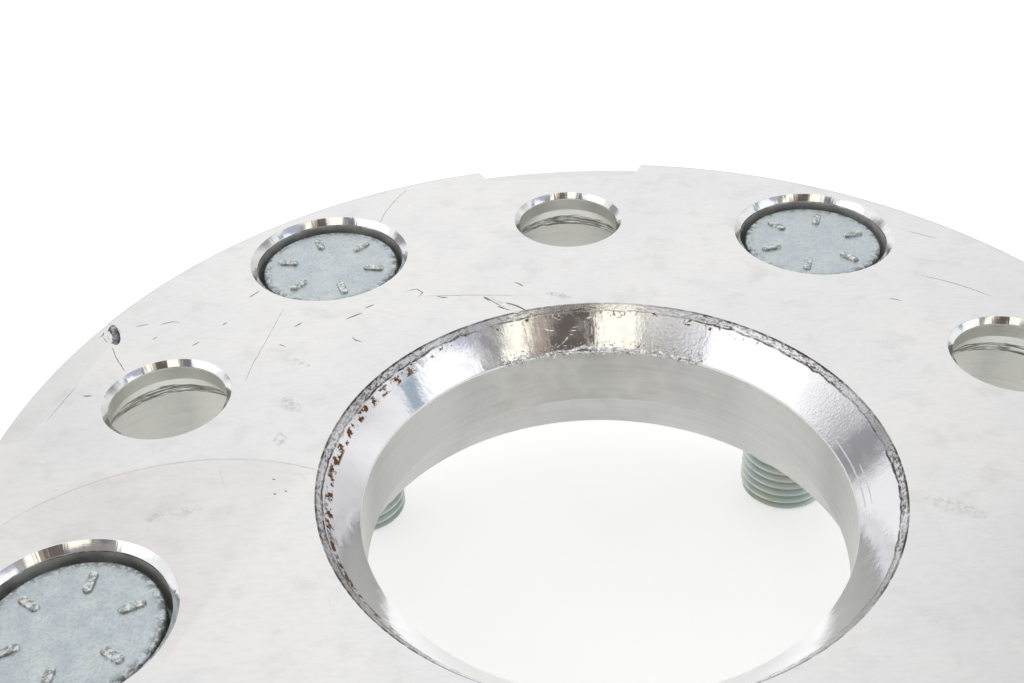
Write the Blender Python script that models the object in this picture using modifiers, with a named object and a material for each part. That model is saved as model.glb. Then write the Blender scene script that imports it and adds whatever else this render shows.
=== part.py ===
"""Wheel spacer: a machined aluminium disc with five pressed-in wheel studs.

The disc bolts to a hub through five clearance holes, whose bolts sit on cone seats in
pockets on the wheel side. A wheel with a wider bolt circle then goes on the five studs.
The part stands on the ends of its studs, hub side up, with the bore's axis on Z.
"""
import math

import bpy
from mathutils import Matrix

MM = 0.001
OBJECT_NAME = "wheel_spacer"
MERGE_DISTANCE = 0.0001

# Fits and cuts
FIT_GAP = 0.3 * MM
CUT_OVERSHOOT = 2.0 * MM

# Studs
STUD_LENGTH = 48.0 * MM
STUD_HEAD_RADIUS = 9.7 * MM
STUD_HEAD_THICKNESS = 4.5 * MM
STUD_HEAD_EDGE = 0.4 * MM
STUD_HEAD_SUNK = 1.6 * MM
STUD_KNURL_RADIUS = 7.6 * MM
STUD_KNURL_LENGTH = 10.0 * MM
STUD_THREAD_RADIUS = 7.0 * MM
STUD_END_CHAMFER = 1.0 * MM
STUD_SEGMENTS = 24

# Stud thread: some of its grooves at their true size, which stand for the whole thread
THREAD_PITCH = 1.5 * MM
THREAD_DEPTH = 0.9 * MM
THREAD_GROOVES = 6
THREAD_GROOVE_STEP = 5.3 * MM
FIRST_GROOVE_Z = 3.2 * MM

# Counterbore that takes a stud's head
HEAD_SIDE_CLEARANCE = 0.8 * MM
HEAD_BORE_CHAMFER = 0.87 * MM
HEAD_BORE_RADIUS = STUD_HEAD_RADIUS + HEAD_SIDE_CLEARANCE
HEAD_MOUTH_RADIUS = HEAD_BORE_RADIUS + HEAD_BORE_CHAMFER

# Bolt circles: the hub's, and the wheel's, which is wider
POSITIONS = 5
BOLT_CIRCLE_RADIUS = 56.0 * MM
CIRCLE_STEP = 4.0 * MM
STUD_CIRCLE_RADIUS = BOLT_CIRCLE_RADIUS + CIRCLE_STEP
FIRST_BOLT_ANGLE = math.radians(90.0)
ANGLE_STEP = math.tau / POSITIONS
FIRST_STUD_ANGLE = FIRST_BOLT_ANGLE - ANGLE_STEP / 2
HOLE_SEGMENTS = 32

# Disc: its rim leaves a thin wall outside the stud heads
RIM_WALL = 1.53 * MM
DISC_RADIUS = STUD_CIRCLE_RADIUS + HEAD_MOUTH_RADIUS + RIM_WALL
DISC_THICKNESS = 20.0 * MM
EDGE_BREAK = 0.5 * MM
DISC_SEGMENTS = 120

# Centre bore: a spigot bore with a lead-in chamfer above and a wider relief below
BORE_RADIUS = 28.6 * MM
BORE_CHAMFER = 4.6 * MM
RELIEF_STEP = 3.4 * MM
RELIEF_RADIUS = BORE_RADIUS + RELIEF_STEP
RELIEF_DEPTH = 6.9 * MM

# Clearance holes for the hub bolts
BOLT_HOLE_RADIUS = 7.3 * MM
BOLT_HOLE_CHAMFER = 0.74 * MM
BOLT_THROAT_DEPTH = 2.7 * MM
BOLT_SEAT_DEPTH = 3.9 * MM
BOLT_SEAT_HALF_ANGLE = math.radians(30.0)
BOLT_POCKET_RADIUS = 12.5 * MM

# Shallow recess in the rim beside each clearance hole
RIM_RECESS_HALF_WIDTH = 12.9 * MM
RIM_RECESS_REACH = 4.2 * MM
RIM_RECESS_DEPTH = 1.2 * MM

# Heights above the surface that the stud ends stand on
HEAD_TOP_Z = STUD_LENGTH
HUB_FACE_Z = HEAD_TOP_Z + STUD_HEAD_SUNK
WHEEL_FACE_Z = HUB_FACE_Z - DISC_THICKNESS

ALUMINIUM = {"colour": (0.83, 0.83, 0.85, 1.0), "metallic": 1.0, "roughness": 0.38}
ZINC = {"colour": (0.60, 0.67, 0.69, 1.0), "metallic": 1.0, "roughness": 0.45}


def clear_scene():
    """Remove the objects that the scene opens with."""
    for item in list(bpy.data.objects):
        bpy.data.objects.remove(item, do_unlink=True)


def make_collection(name):
    """Return a new collection linked to the scene."""
    collection = bpy.data.collections.new(name)
    bpy.context.scene.collection.children.link(collection)
    return collection


def make_material(name, finish):
    """Return a Principled material with one colour, roughness and metallic value."""
    material = bpy.data.materials.new(name)
    material.use_nodes = True
    shader = material.node_tree.nodes["Principled BSDF"]
    shader.inputs["Base Color"].default_value = finish["colour"]
    shader.inputs["Metallic"].default_value = finish["metallic"]
    shader.inputs["Roughness"].default_value = finish["roughness"]
    return material


def turned_object(name, profile, segments, collection):
    """Return a turned solid: a profile of (radius, height) points and a Screw about Z."""
    mesh = bpy.data.meshes.new(name)
    points = [(radius, 0.0, height) for radius, height in profile]
    edges = [(index, index + 1) for index in range(len(points) - 1)]
    if profile[0][0] > 0:
        edges.append((len(points) - 1, 0))
    mesh.from_pydata(points, edges, [])
    turned = bpy.data.objects.new(name, mesh)
    collection.objects.link(turned)
    screw = turned.modifiers.new("Turn", "SCREW")
    screw.axis = "Z"
    screw.angle = math.tau
    screw.steps = segments
    screw.render_steps = segments
    screw.use_merge_vertices = True
    screw.merge_threshold = MERGE_DISTANCE
    return turned


def box_object(name, low, high, collection):
    """Return a box between two corners, made from a cube primitive."""
    bpy.ops.mesh.primitive_cube_add(size=1.0)
    box = bpy.context.active_object
    box.name = name
    size = [high[axis] - low[axis] for axis in range(3)]
    middle = [(high[axis] + low[axis]) / 2 for axis in range(3)]
    box.data.transform(Matrix.Translation(middle) @ Matrix.Diagonal((*size, 1.0)))
    for holder in list(box.users_collection):
        holder.objects.unlink(box)
    collection.objects.link(box)
    return box


def hide_cutter(cutter):
    """Show a cutter as wire and keep it out of renders."""
    cutter.hide_render = True
    cutter.display_type = "WIRE"


def place_on_circle(item, radius, angle):
    """Put an object on a circle about Z, turned to face outwards along its own X."""
    item.location = (radius * math.cos(angle), radius * math.sin(angle), 0.0)
    item.rotation_euler = (0.0, 0.0, angle)


def disc_profile():
    """Points of the disc's section, from the bore's mouth down the outer side and back."""
    mouth_radius = BORE_RADIUS + BORE_CHAMFER
    return [
        (mouth_radius, HUB_FACE_Z),
        (DISC_RADIUS, HUB_FACE_Z),
        (DISC_RADIUS, WHEEL_FACE_Z + EDGE_BREAK),
        (DISC_RADIUS - EDGE_BREAK, WHEEL_FACE_Z),
        (RELIEF_RADIUS + EDGE_BREAK, WHEEL_FACE_Z),
        (RELIEF_RADIUS, WHEEL_FACE_Z + EDGE_BREAK),
        (RELIEF_RADIUS, WHEEL_FACE_Z + RELIEF_DEPTH),
        (BORE_RADIUS, WHEEL_FACE_Z + RELIEF_DEPTH),
        (BORE_RADIUS, HUB_FACE_Z - BORE_CHAMFER),
    ]


def bolt_hole_profile():
    """Points of a clearance hole's section: chamfer, throat, cone seat and pocket."""
    throat_end = HUB_FACE_Z - BOLT_THROAT_DEPTH
    seat_end = throat_end - BOLT_SEAT_DEPTH
    seat_radius = BOLT_HOLE_RADIUS + BOLT_SEAT_DEPTH * math.tan(BOLT_SEAT_HALF_ANGLE)
    mouth_radius = BOLT_HOLE_RADIUS + BOLT_HOLE_CHAMFER
    return [
        (0.0, HUB_FACE_Z + CUT_OVERSHOOT),
        (mouth_radius + CUT_OVERSHOOT, HUB_FACE_Z + CUT_OVERSHOOT),
        (BOLT_HOLE_RADIUS, HUB_FACE_Z - BOLT_HOLE_CHAMFER),
        (BOLT_HOLE_RADIUS, throat_end),
        (seat_radius, seat_end),
        (BOLT_POCKET_RADIUS, seat_end),
        (BOLT_POCKET_RADIUS, WHEEL_FACE_Z - CUT_OVERSHOOT),
        (0.0, WHEEL_FACE_Z - CUT_OVERSHOOT),
    ]


def stud_hole_profile():
    """Points of a stud hole's section: chamfered counterbore above, plain hole below."""
    seat_z = HEAD_TOP_Z - STUD_HEAD_THICKNESS - FIT_GAP
    return [
        (0.0, HUB_FACE_Z + CUT_OVERSHOOT),
        (HEAD_MOUTH_RADIUS + CUT_OVERSHOOT, HUB_FACE_Z + CUT_OVERSHOOT),
        (HEAD_BORE_RADIUS, HUB_FACE_Z - HEAD_BORE_CHAMFER),
        (HEAD_BORE_RADIUS, seat_z),
        (STUD_KNURL_RADIUS + FIT_GAP, seat_z),
        (STUD_KNURL_RADIUS + FIT_GAP, WHEEL_FACE_Z - CUT_OVERSHOOT),
        (0.0, WHEEL_FACE_Z - CUT_OVERSHOOT),
    ]


def thread_profile():
    """Points of the thread's grooves, from the highest one down."""
    points = []
    for index in reversed(range(THREAD_GROOVES)):
        middle = FIRST_GROOVE_Z + index * THREAD_GROOVE_STEP
        points.append((STUD_THREAD_RADIUS, middle + THREAD_PITCH / 2))
        points.append((STUD_THREAD_RADIUS - THREAD_DEPTH, middle))
        points.append((STUD_THREAD_RADIUS, middle - THREAD_PITCH / 2))
    return points


def stud_profile():
    """Points of a stud's section: head, knurl, threaded shank and end chamfer."""
    head_bottom = HEAD_TOP_Z - STUD_HEAD_THICKNESS
    knurl_bottom = head_bottom - STUD_KNURL_LENGTH
    return [
        (0.0, HEAD_TOP_Z),
        (STUD_HEAD_RADIUS - STUD_HEAD_EDGE, HEAD_TOP_Z),
        (STUD_HEAD_RADIUS, HEAD_TOP_Z - STUD_HEAD_EDGE),
        (STUD_HEAD_RADIUS, head_bottom),
        (STUD_KNURL_RADIUS, head_bottom),
        (STUD_KNURL_RADIUS, knurl_bottom),
        (STUD_THREAD_RADIUS, knurl_bottom - (STUD_KNURL_RADIUS - STUD_THREAD_RADIUS)),
        *thread_profile(),
        (STUD_THREAD_RADIUS, STUD_END_CHAMFER),
        (STUD_THREAD_RADIUS - STUD_END_CHAMFER, 0.0),
        (0.0, 0.0),
    ]


def make_cutters(collection):
    """Make the cutters for the holes and the rim recesses."""
    for index in range(POSITIONS):
        bolt_angle = FIRST_BOLT_ANGLE + index * ANGLE_STEP
        stud_angle = FIRST_STUD_ANGLE + index * ANGLE_STEP
        bolt_hole = turned_object(f"bolt_hole_cut_{index + 1}", bolt_hole_profile(), HOLE_SEGMENTS, collection)
        place_on_circle(bolt_hole, BOLT_CIRCLE_RADIUS, bolt_angle)
        stud_hole = turned_object(f"stud_hole_cut_{index + 1}", stud_hole_profile(), HOLE_SEGMENTS, collection)
        place_on_circle(stud_hole, STUD_CIRCLE_RADIUS, stud_angle)
        recess_low = (
            DISC_RADIUS - RIM_RECESS_REACH,
            -RIM_RECESS_HALF_WIDTH,
            HUB_FACE_Z - RIM_RECESS_DEPTH,
        )
        recess_high = (
            DISC_RADIUS + CUT_OVERSHOOT,
            RIM_RECESS_HALF_WIDTH,
            HUB_FACE_Z + CUT_OVERSHOOT,
        )
        recess = box_object(f"rim_recess_cut_{index + 1}", recess_low, recess_high, collection)
        place_on_circle(recess, 0.0, bolt_angle)
        for cutter in (bolt_hole, stud_hole, recess):
            hide_cutter(cutter)


def make_disc(collection, cutters, material):
    """Make the disc: one turned body cut by the whole cutter collection."""
    disc = turned_object("adaptor_disc", disc_profile(), DISC_SEGMENTS, collection)
    disc.data.materials.append(material)
    holes = disc.modifiers.new("Holes and recesses", "BOOLEAN")
    holes.operation = "DIFFERENCE"
    holes.solver = "EXACT"
    holes.operand_type = "COLLECTION"
    holes.collection = cutters
    return disc


def make_studs(collection, material):
    """Make the five studs, which share one turned mesh."""
    first = turned_object("stud_1", stud_profile(), STUD_SEGMENTS, collection)
    first.data.materials.append(material)
    place_on_circle(first, STUD_CIRCLE_RADIUS, FIRST_STUD_ANGLE)
    for index in range(1, POSITIONS):
        stud = first.copy()
        stud.name = f"stud_{index + 1}"
        collection.objects.link(stud)
        place_on_circle(stud, STUD_CIRCLE_RADIUS, FIRST_STUD_ANGLE + index * ANGLE_STEP)


def main():
    """Build the wheel spacer."""
    clear_scene()
    parts = make_collection(OBJECT_NAME)
    cutters = make_collection("cutters")
    make_cutters(cutters)
    make_disc(parts, cutters, make_material("machined_aluminium", ALUMINIUM))
    make_studs(parts, make_material("zinc_plated_steel", ZINC))


if __name__ == "__main__":
    main()
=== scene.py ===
"""Studio scene of a wheel spacer: a machined aluminium disc with five pressed-in wheel studs.

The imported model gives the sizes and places. Each sub-assembly is a class that holds its sizes,
builds its meshes and dresses them. Sizes are millimetres until a mesh or a tree is made, and
patterns in the materials are also laid out in millimetres on Object coordinates.
"""

import logging
import math
from dataclasses import dataclass, field
from enum import Enum
from typing import Any, Dict, List, Optional, Sequence, Tuple, Union

import bmesh
import bpy
from mathutils import Matrix, Vector, noise


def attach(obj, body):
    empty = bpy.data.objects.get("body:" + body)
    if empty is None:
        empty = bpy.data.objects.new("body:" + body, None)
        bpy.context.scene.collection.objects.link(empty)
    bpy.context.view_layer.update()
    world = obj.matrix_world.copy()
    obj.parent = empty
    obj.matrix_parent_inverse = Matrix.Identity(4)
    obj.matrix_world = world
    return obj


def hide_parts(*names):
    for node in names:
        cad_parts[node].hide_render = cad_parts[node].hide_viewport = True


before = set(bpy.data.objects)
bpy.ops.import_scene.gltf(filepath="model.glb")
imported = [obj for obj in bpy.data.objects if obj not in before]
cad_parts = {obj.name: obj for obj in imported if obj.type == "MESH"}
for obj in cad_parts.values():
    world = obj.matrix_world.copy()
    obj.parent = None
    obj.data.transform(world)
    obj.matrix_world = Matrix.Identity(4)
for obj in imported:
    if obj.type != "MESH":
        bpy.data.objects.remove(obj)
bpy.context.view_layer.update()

log = logging.getLogger("wheel_spacer")

MM = 0.001
MERGE = 0.000001
FULL_TURN = math.tau

# Heights and circles that several pieces share, and how far a cutter reaches past a face.
HUB_FACE = 49.6
WHEEL_FACE = 29.6
HOLE_COUNT = 5
CUT_CLEARANCE = 2.0
CUT_FLARE = 1.7
BOLT_CIRCLE = 56.0
BOLT_START = math.radians(90.0)
STUD_CIRCLE = 60.0
STUD_START = math.radians(54.0)

# Steps of curves, paths and grids.
MARK_STEPS = 40
GROOVE_STEP = 0.35
THREAD_ROWS = 8
THREAD_COLUMNS = 65
BAR_STEPS = 14

Point = Tuple[float, float]
Colour = Tuple[float, float, float]
Socket = bpy.types.NodeSocket
Value = Union[Socket, float, int, Sequence[float]]
Material = bpy.types.Material
Mesh = bpy.types.Mesh
Tree = bpy.types.NodeTree


class Group(Enum):
    """The shader node groups that materials share."""

    POLAR = "around_the_axis"
    HOLE_SPACE = "around_the_nearest_hole"
    BAND = "band_between_limits"
    STROKE = "straight_scratch"
    ARC = "curved_witness_mark"
    HAIRLINES = "fine_hairlines"
    TURNING = "turning_lines"
    GRIME = "grime_patches"
    SECTOR = "share_of_the_turn"
    STREAKS = "streaks_round_the_axis"


class Centre(Enum):
    """What the tool lines of a turned surface run round."""

    AXIS = "axis"
    BOLT_HOLE = "bolt_hole"
    STUD_HOLE = "stud_hole"

    def circle(self) -> Tuple[float, float]:
        """Return the radius in millimetres of the circle of centres, and the first one's angle."""
        circles = {
            Centre.AXIS: (0.0, 0.0),
            Centre.BOLT_HOLE: (BOLT_CIRCLE, BOLT_START),
            Centre.STUD_HOLE: (STUD_CIRCLE, STUD_START),
        }
        return circles[self]


def linear(red: float, green: float, blue: float, level: float = 1.0) -> Tuple[float, float, float, float]:
    """Turn a colour as seen on screen, 0 to 255, into the shader's own scale.

    Args:
        red: Red on the screen.
        green: Green on the screen.
        blue: Blue on the screen.
        level: Factor on the result, above 1 for a lamp.

    Returns:
        The colour with an alpha of 1.
    """
    parts = []
    for part in (red, green, blue):
        share = part / 255.0
        parts.append(level * (share / 12.92 if share <= 0.04045 else ((share + 0.055) / 1.055) ** 2.4))
    return (parts[0], parts[1], parts[2], 1.0)


class Graph:
    """Adds nodes and links to one node tree, for shaders and for geometry alike."""

    def __init__(self, tree: Tree) -> None:
        """Keep the tree and start with no nodes placed."""
        self.tree = tree
        self.placed = 0

    def node(self, kind: str, values: Optional[Dict[Any, Value]] = None, **settings: Any) -> bpy.types.Node:
        """Add a node.

        Args:
            kind: The node's type name.
            values: What goes into its input sockets, by name or index.
            **settings: Properties of the node.

        Returns:
            The new node.
        """
        made = self.tree.nodes.new(kind)
        made.location = (190.0 * (self.placed // 6), -180.0 * (self.placed % 6))
        self.placed += 1
        for name, setting in settings.items():
            setattr(made, name, setting)
        for key, value in (values or {}).items():
            self.feed(made.inputs[key], value)
        return made

    def feed(self, socket: Socket, value: Value) -> None:
        """Link a socket to another one, or set its own value."""
        if isinstance(value, Socket):
            self.tree.links.new(value, socket)
        else:
            socket.default_value = value

    def math(self, operation: str, *values: Value, clamp: bool = False) -> Socket:
        """Return the result of a Math node on one, two or three values."""
        made = self.node("ShaderNodeMath", dict(enumerate(values)), operation=operation, use_clamp=clamp)
        return made.outputs[0]

    def times(self, first: Value, second: Value) -> Socket:
        """Return the product of two values."""
        return self.math("MULTIPLY", first, second)

    def plus(self, first: Value, second: Value) -> Socket:
        """Return the sum of two values."""
        return self.math("ADD", first, second)

    def minus(self, first: Value, second: Value) -> Socket:
        """Return the first value less the second."""
        return self.math("SUBTRACT", first, second)

    def over(self, first: Value, second: Value) -> Socket:
        """Return the first value divided by the second."""
        return self.math("DIVIDE", first, second)

    def larger(self, first: Value, second: Value) -> Socket:
        """Return the larger of two values."""
        return self.math("MAXIMUM", first, second)

    def vector(self, operation: str, *values: Value) -> Socket:
        """Return the vector result of a Vector Math node."""
        return self.node("ShaderNodeVectorMath", dict(enumerate(values)), operation=operation).outputs[0]

    def measure(self, operation: str, *values: Value) -> Socket:
        """Return the number that a Vector Math node gives, such as a length or a dot product."""
        return self.node("ShaderNodeVectorMath", dict(enumerate(values)), operation=operation).outputs[1]

    def scaled(self, vector: Value, factor: Value) -> Socket:
        """Return a vector times a number."""
        made = self.node("ShaderNodeVectorMath", {0: vector, "Scale": factor}, operation="SCALE")
        return made.outputs[0]

    def combine(self, x: Value, y: Value, z: Value) -> Socket:
        """Return a vector of three numbers."""
        return self.node("ShaderNodeCombineXYZ", {0: x, 1: y, 2: z}).outputs[0]

    def around(self, radius: Value, angle: Value, height: Value) -> Socket:
        """Return the point at a distance and an angle round Z, at a height."""
        x = self.times(radius, self.math("COSINE", angle))
        y = self.times(radius, self.math("SINE", angle))
        return self.combine(x, y, height)

    def split(self, vector: Value) -> Sequence[Socket]:
        """Return the three numbers of a vector."""
        return self.node("ShaderNodeSeparateXYZ", {0: vector}).outputs

    def ramp(self, value: Value, low: Value, high: Value, start: Value = 0.0, end: Value = 1.0) -> Socket:
        """Return a value mapped smoothly from one range to another, and held at both ends."""
        made = self.node(
            "ShaderNodeMapRange",
            {0: value, 1: low, 2: high, 3: start, 4: end},
            interpolation_type="SMOOTHSTEP",
        )
        return made.outputs[0]

    def noise(self, vector: Value, scale: Value, detail: float = 2.0, rough: float = 0.5) -> Socket:
        """Return a noise value round a half."""
        values = {"Vector": vector, "Scale": scale, "Detail": detail, "Roughness": rough}
        return self.node("ShaderNodeTexNoise", values).outputs[0]

    def mixed(self, share: Value, first: Value, second: Value) -> Socket:
        """Return a colour between two colours."""
        return self.node("ShaderNodeMix", {0: share, 6: first, 7: second}, data_type="RGBA").outputs[2]

    def multiplied(self, share: Value, first: Value, second: Value) -> Socket:
        """Return a colour multiplied by another one, by a share."""
        made = self.node(
            "ShaderNodeMix",
            {0: share, 6: first, 7: second},
            data_type="RGBA",
            blend_type="MULTIPLY",
        )
        return made.outputs[2]

    def between(self, share: Value, first: Value, second: Value) -> Socket:
        """Return a number between two numbers."""
        return self.node("ShaderNodeMix", {0: share, 2: first, 3: second}, data_type="FLOAT").outputs[0]

    def use(self, group: Group, values: Dict[str, Value]) -> bpy.types.NodeOutputs:
        """Place a shared shader group with its own values, and return its outputs."""
        return self.node("ShaderNodeGroup", values, node_tree=bpy.data.node_groups[group.value]).outputs


def new_tree(
    name: str, kind: str, inputs: Dict[str, Any], outputs: Dict[str, str]
) -> Tuple[Graph, Any, Any]:
    """Start a node group with named sockets.

    Args:
        name: The group's name.
        kind: ShaderNodeTree or GeometryNodeTree.
        inputs: The starting number of each input, or the name of its socket type.
        outputs: The name of each output's socket type.

    Returns:
        The graph, the group's inputs as output sockets, and its output node.
    """
    tree = bpy.data.node_groups.new(name, kind)
    for title, first in inputs.items():
        sort = first if isinstance(first, str) else type(first).__name__.title()
        socket = tree.interface.new_socket(name=title, in_out="INPUT", socket_type="NodeSocket" + sort)
        if sort != first:
            socket.default_value = first
    for title, sort in outputs.items():
        tree.interface.new_socket(name=title, in_out="OUTPUT", socket_type="NodeSocket" + sort)
    graph = Graph(tree)
    source = graph.node("NodeGroupInput").outputs
    target = graph.node("NodeGroupOutput")
    return graph, source, target


def shader_group(group: Group, inputs: Dict[str, Any], *outputs: str) -> Tuple[Graph, Any, Any]:
    """Start a shader group whose outputs are numbers; it returns what new_tree returns."""
    return new_tree(group.value, "ShaderNodeTree", inputs, dict.fromkeys(outputs, "Float"))


def shape_tree(name: str, inputs: Dict[str, Any]) -> Tuple[Graph, Any, Any]:
    """Start a geometry tree with a shape and a finish; it returns what new_tree returns."""
    whole = {"Geometry": "Geometry", **inputs, "Finish": "Material"}
    return new_tree(name, "GeometryNodeTree", whole, {"Geometry": "Geometry"})


class SharedGroups:
    """Builds the shader node groups once, before any material is made."""

    def build(self) -> None:
        """Build every group."""
        self.polar()
        self.hole_space()
        self.band()
        self.stroke()
        self.arc()
        self.hairlines()
        self.turning()
        self.grime()
        self.sector()
        self.streaks()

    def polar(self) -> None:
        """Angle round Z and distance from it."""
        graph, source, target = shader_group(Group.POLAR, {"Position": "Vector"}, "Angle", "Radius")
        x, y, _ = graph.split(source["Position"])
        graph.feed(target.inputs["Angle"], graph.math("ARCTAN2", y, x))
        graph.feed(target.inputs["Radius"], graph.measure("LENGTH", graph.combine(x, y, 0.0)))

    def hole_space(self) -> None:
        """Angle and distance round the nearest of five holes on a circle."""
        inputs = {"Position": "Vector", "Circle Radius": 56.0, "First Angle": 0.0}
        graph, source, target = shader_group(Group.HOLE_SPACE, inputs, "Angle", "Radius")
        x, y, _ = graph.split(source["Position"])
        step = FULL_TURN / HOLE_COUNT
        angle = graph.minus(graph.math("ARCTAN2", y, x), source["First Angle"])
        index = graph.math("ROUND", graph.over(angle, step))
        turned = graph.minus(angle, graph.times(index, step))
        away = graph.measure("LENGTH", graph.combine(x, y, 0.0))
        along = graph.times(away, graph.math("COSINE", turned))
        across = graph.times(away, graph.math("SINE", turned))
        along = graph.minus(along, source["Circle Radius"])
        graph.feed(target.inputs["Angle"], graph.math("ARCTAN2", across, along))
        graph.feed(target.inputs["Radius"], graph.measure("LENGTH", graph.combine(along, across, 0.0)))

    def band(self) -> None:
        """Mask that is 1 between two limits and fades outside them."""
        inputs = {"Value": 0.0, "Low": 0.0, "High": 0.0, "Feather": 0.1}
        graph, source, target = shader_group(Group.BAND, inputs, "Mask")
        value, feather = source["Value"], source["Feather"]
        rise = graph.ramp(value, graph.minus(source["Low"], feather), source["Low"])
        fall = graph.ramp(value, source["High"], graph.plus(source["High"], feather), 1.0, 0.0)
        graph.feed(target.inputs["Mask"], graph.times(rise, fall))

    def stroke(self) -> None:
        """Mask of a straight scratch between two points, thinner towards its ends."""
        inputs = {"Position": "Vector", "Start": "Vector", "End": "Vector", "Half Width": 0.2, "Taper": 0.7}
        graph, source, target = shader_group(Group.STROKE, inputs, "Mask")
        offset = graph.vector("SUBTRACT", source["Position"], source["Start"])
        span = graph.vector("SUBTRACT", source["End"], source["Start"])
        share = graph.math(
            "DIVIDE",
            graph.measure("DOT_PRODUCT", offset, span),
            graph.measure("DOT_PRODUCT", span, span),
            clamp=True,
        )
        away = graph.measure("LENGTH", graph.vector("SUBTRACT", offset, graph.scaled(span, share)))
        middle = graph.times(graph.times(share, graph.minus(1.0, share)), 4.0)
        slim = graph.minus(1.0, graph.times(source["Taper"], graph.minus(1.0, middle)))
        width = graph.times(source["Half Width"], graph.larger(slim, 0.05))
        mask = graph.ramp(graph.over(away, width), 0.3, 1.0, 1.0, 0.0)
        graph.feed(target.inputs["Mask"], mask)

    def arc(self) -> None:
        """Mask of the side that a curved mark bends round."""
        inputs = {"Position": "Vector", "Centre": "Vector", "Radius": 30.0, "Middle": 0.0, "Reach": 0.5}
        graph, source, target = shader_group(Group.ARC, inputs, "Inside")
        x, y, _ = graph.split(graph.vector("SUBTRACT", source["Position"], source["Centre"]))
        away = graph.measure("LENGTH", graph.combine(x, y, 0.0))
        angle = graph.minus(graph.math("ARCTAN2", y, x), source["Middle"])
        angle = graph.math("ABSOLUTE", graph.math("WRAP", angle, math.pi, -math.pi))
        beyond = graph.minus(away, source["Radius"])
        reach = graph.ramp(graph.over(angle, source["Reach"]), 0.8, 1.0, 1.0, 0.0)
        side = graph.ramp(beyond, -1.2, 1.2, 1.0, 0.0)
        graph.feed(target.inputs["Inside"], graph.times(side, reach))

    def hairlines(self) -> None:
        """Mask of many fine scratches that run one way."""
        inputs = {"Position": "Vector", "Direction": 0.0, "Length": 12.0, "Spacing": 0.4, "Threshold": 0.6}
        graph, source, target = shader_group(Group.HAIRLINES, inputs, "Mask")
        turned = graph.node(
            "ShaderNodeVectorRotate",
            {"Vector": source["Position"], "Angle": source["Direction"]},
            rotation_type="Z_AXIS",
        ).outputs[0]
        x, y, _ = graph.split(turned)
        bend = graph.noise(turned, 0.06, 1.0)
        along = graph.over(x, source["Length"])
        across = graph.over(graph.plus(y, graph.times(bend, 5.0)), source["Spacing"])
        lines = graph.noise(graph.combine(along, across, source["Direction"]), 1.0, 2.0, 0.6)
        mask = graph.ramp(lines, source["Threshold"], graph.plus(source["Threshold"], 0.12))
        graph.feed(target.inputs["Mask"], mask)

    def turning(self) -> None:
        """Height of the fine lines that a turning tool leaves, which drift a little round the part."""
        inputs = {"Distance": 0.0, "Angle": 0.0, "Pitch": 0.3, "Drift": 0.6}
        graph, source, target = shader_group(Group.TURNING, inputs, "Height")
        across = graph.over(source["Distance"], source["Pitch"])
        turn_x = graph.times(graph.math("COSINE", source["Angle"]), source["Drift"])
        turn_y = graph.times(graph.math("SINE", source["Angle"]), source["Drift"])
        graph.feed(
            target.inputs["Height"], graph.noise(graph.combine(across, turn_x, turn_y), 1.0, 3.0, 0.6)
        )

    def grime(self) -> None:
        """Mask of irregular dirty patches over a share of the surface."""
        inputs = {"Position": "Vector", "Size": 2.0, "Coverage": 0.4, "Edge": 0.08}
        graph, source, target = shader_group(Group.GRIME, inputs, "Mask")
        patches = graph.noise(
            graph.scaled(source["Position"], graph.over(1.0, source["Size"])), 1.0, 6.0, 0.65
        )
        limit = graph.minus(0.78, graph.times(source["Coverage"], 0.56))
        graph.feed(target.inputs["Mask"], graph.ramp(patches, limit, graph.plus(limit, source["Edge"])))

    def sector(self) -> None:
        """Mask that is 1 within a range of angles round the axis."""
        inputs = {"Position": "Vector", "Middle": 0.0, "Half": 0.5, "Feather": 0.3}
        graph, source, target = shader_group(Group.SECTOR, inputs, "Mask")
        x, y, _ = graph.split(source["Position"])
        away = graph.vector("NORMALIZE", graph.combine(x, y, 0.0))
        aim = graph.combine(
            graph.math("COSINE", source["Middle"]), graph.math("SINE", source["Middle"]), 0.0
        )
        apart = graph.math("ARCCOSINE", graph.measure("DOT_PRODUCT", away, aim))
        limit = graph.plus(source["Half"], source["Feather"])
        graph.feed(target.inputs["Mask"], graph.ramp(apart, source["Half"], limit, 1.0, 0.0))

    def streaks(self) -> None:
        """Value of streaks that are drawn out round the part and narrow across it."""
        inputs = {"Position": "Vector", "Across": 0.0, "Length": 1.0, "Width": 0.25}
        graph, source, target = shader_group(Group.STREAKS, inputs, "Value")
        x, y, _ = graph.split(source["Position"])
        along = graph.over(x, source["Length"])
        aside = graph.over(y, source["Length"])
        across = graph.over(source["Across"], source["Width"])
        graph.feed(target.inputs["Value"], graph.noise(graph.combine(along, aside, across), 1.0, 4.0, 0.65))


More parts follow.
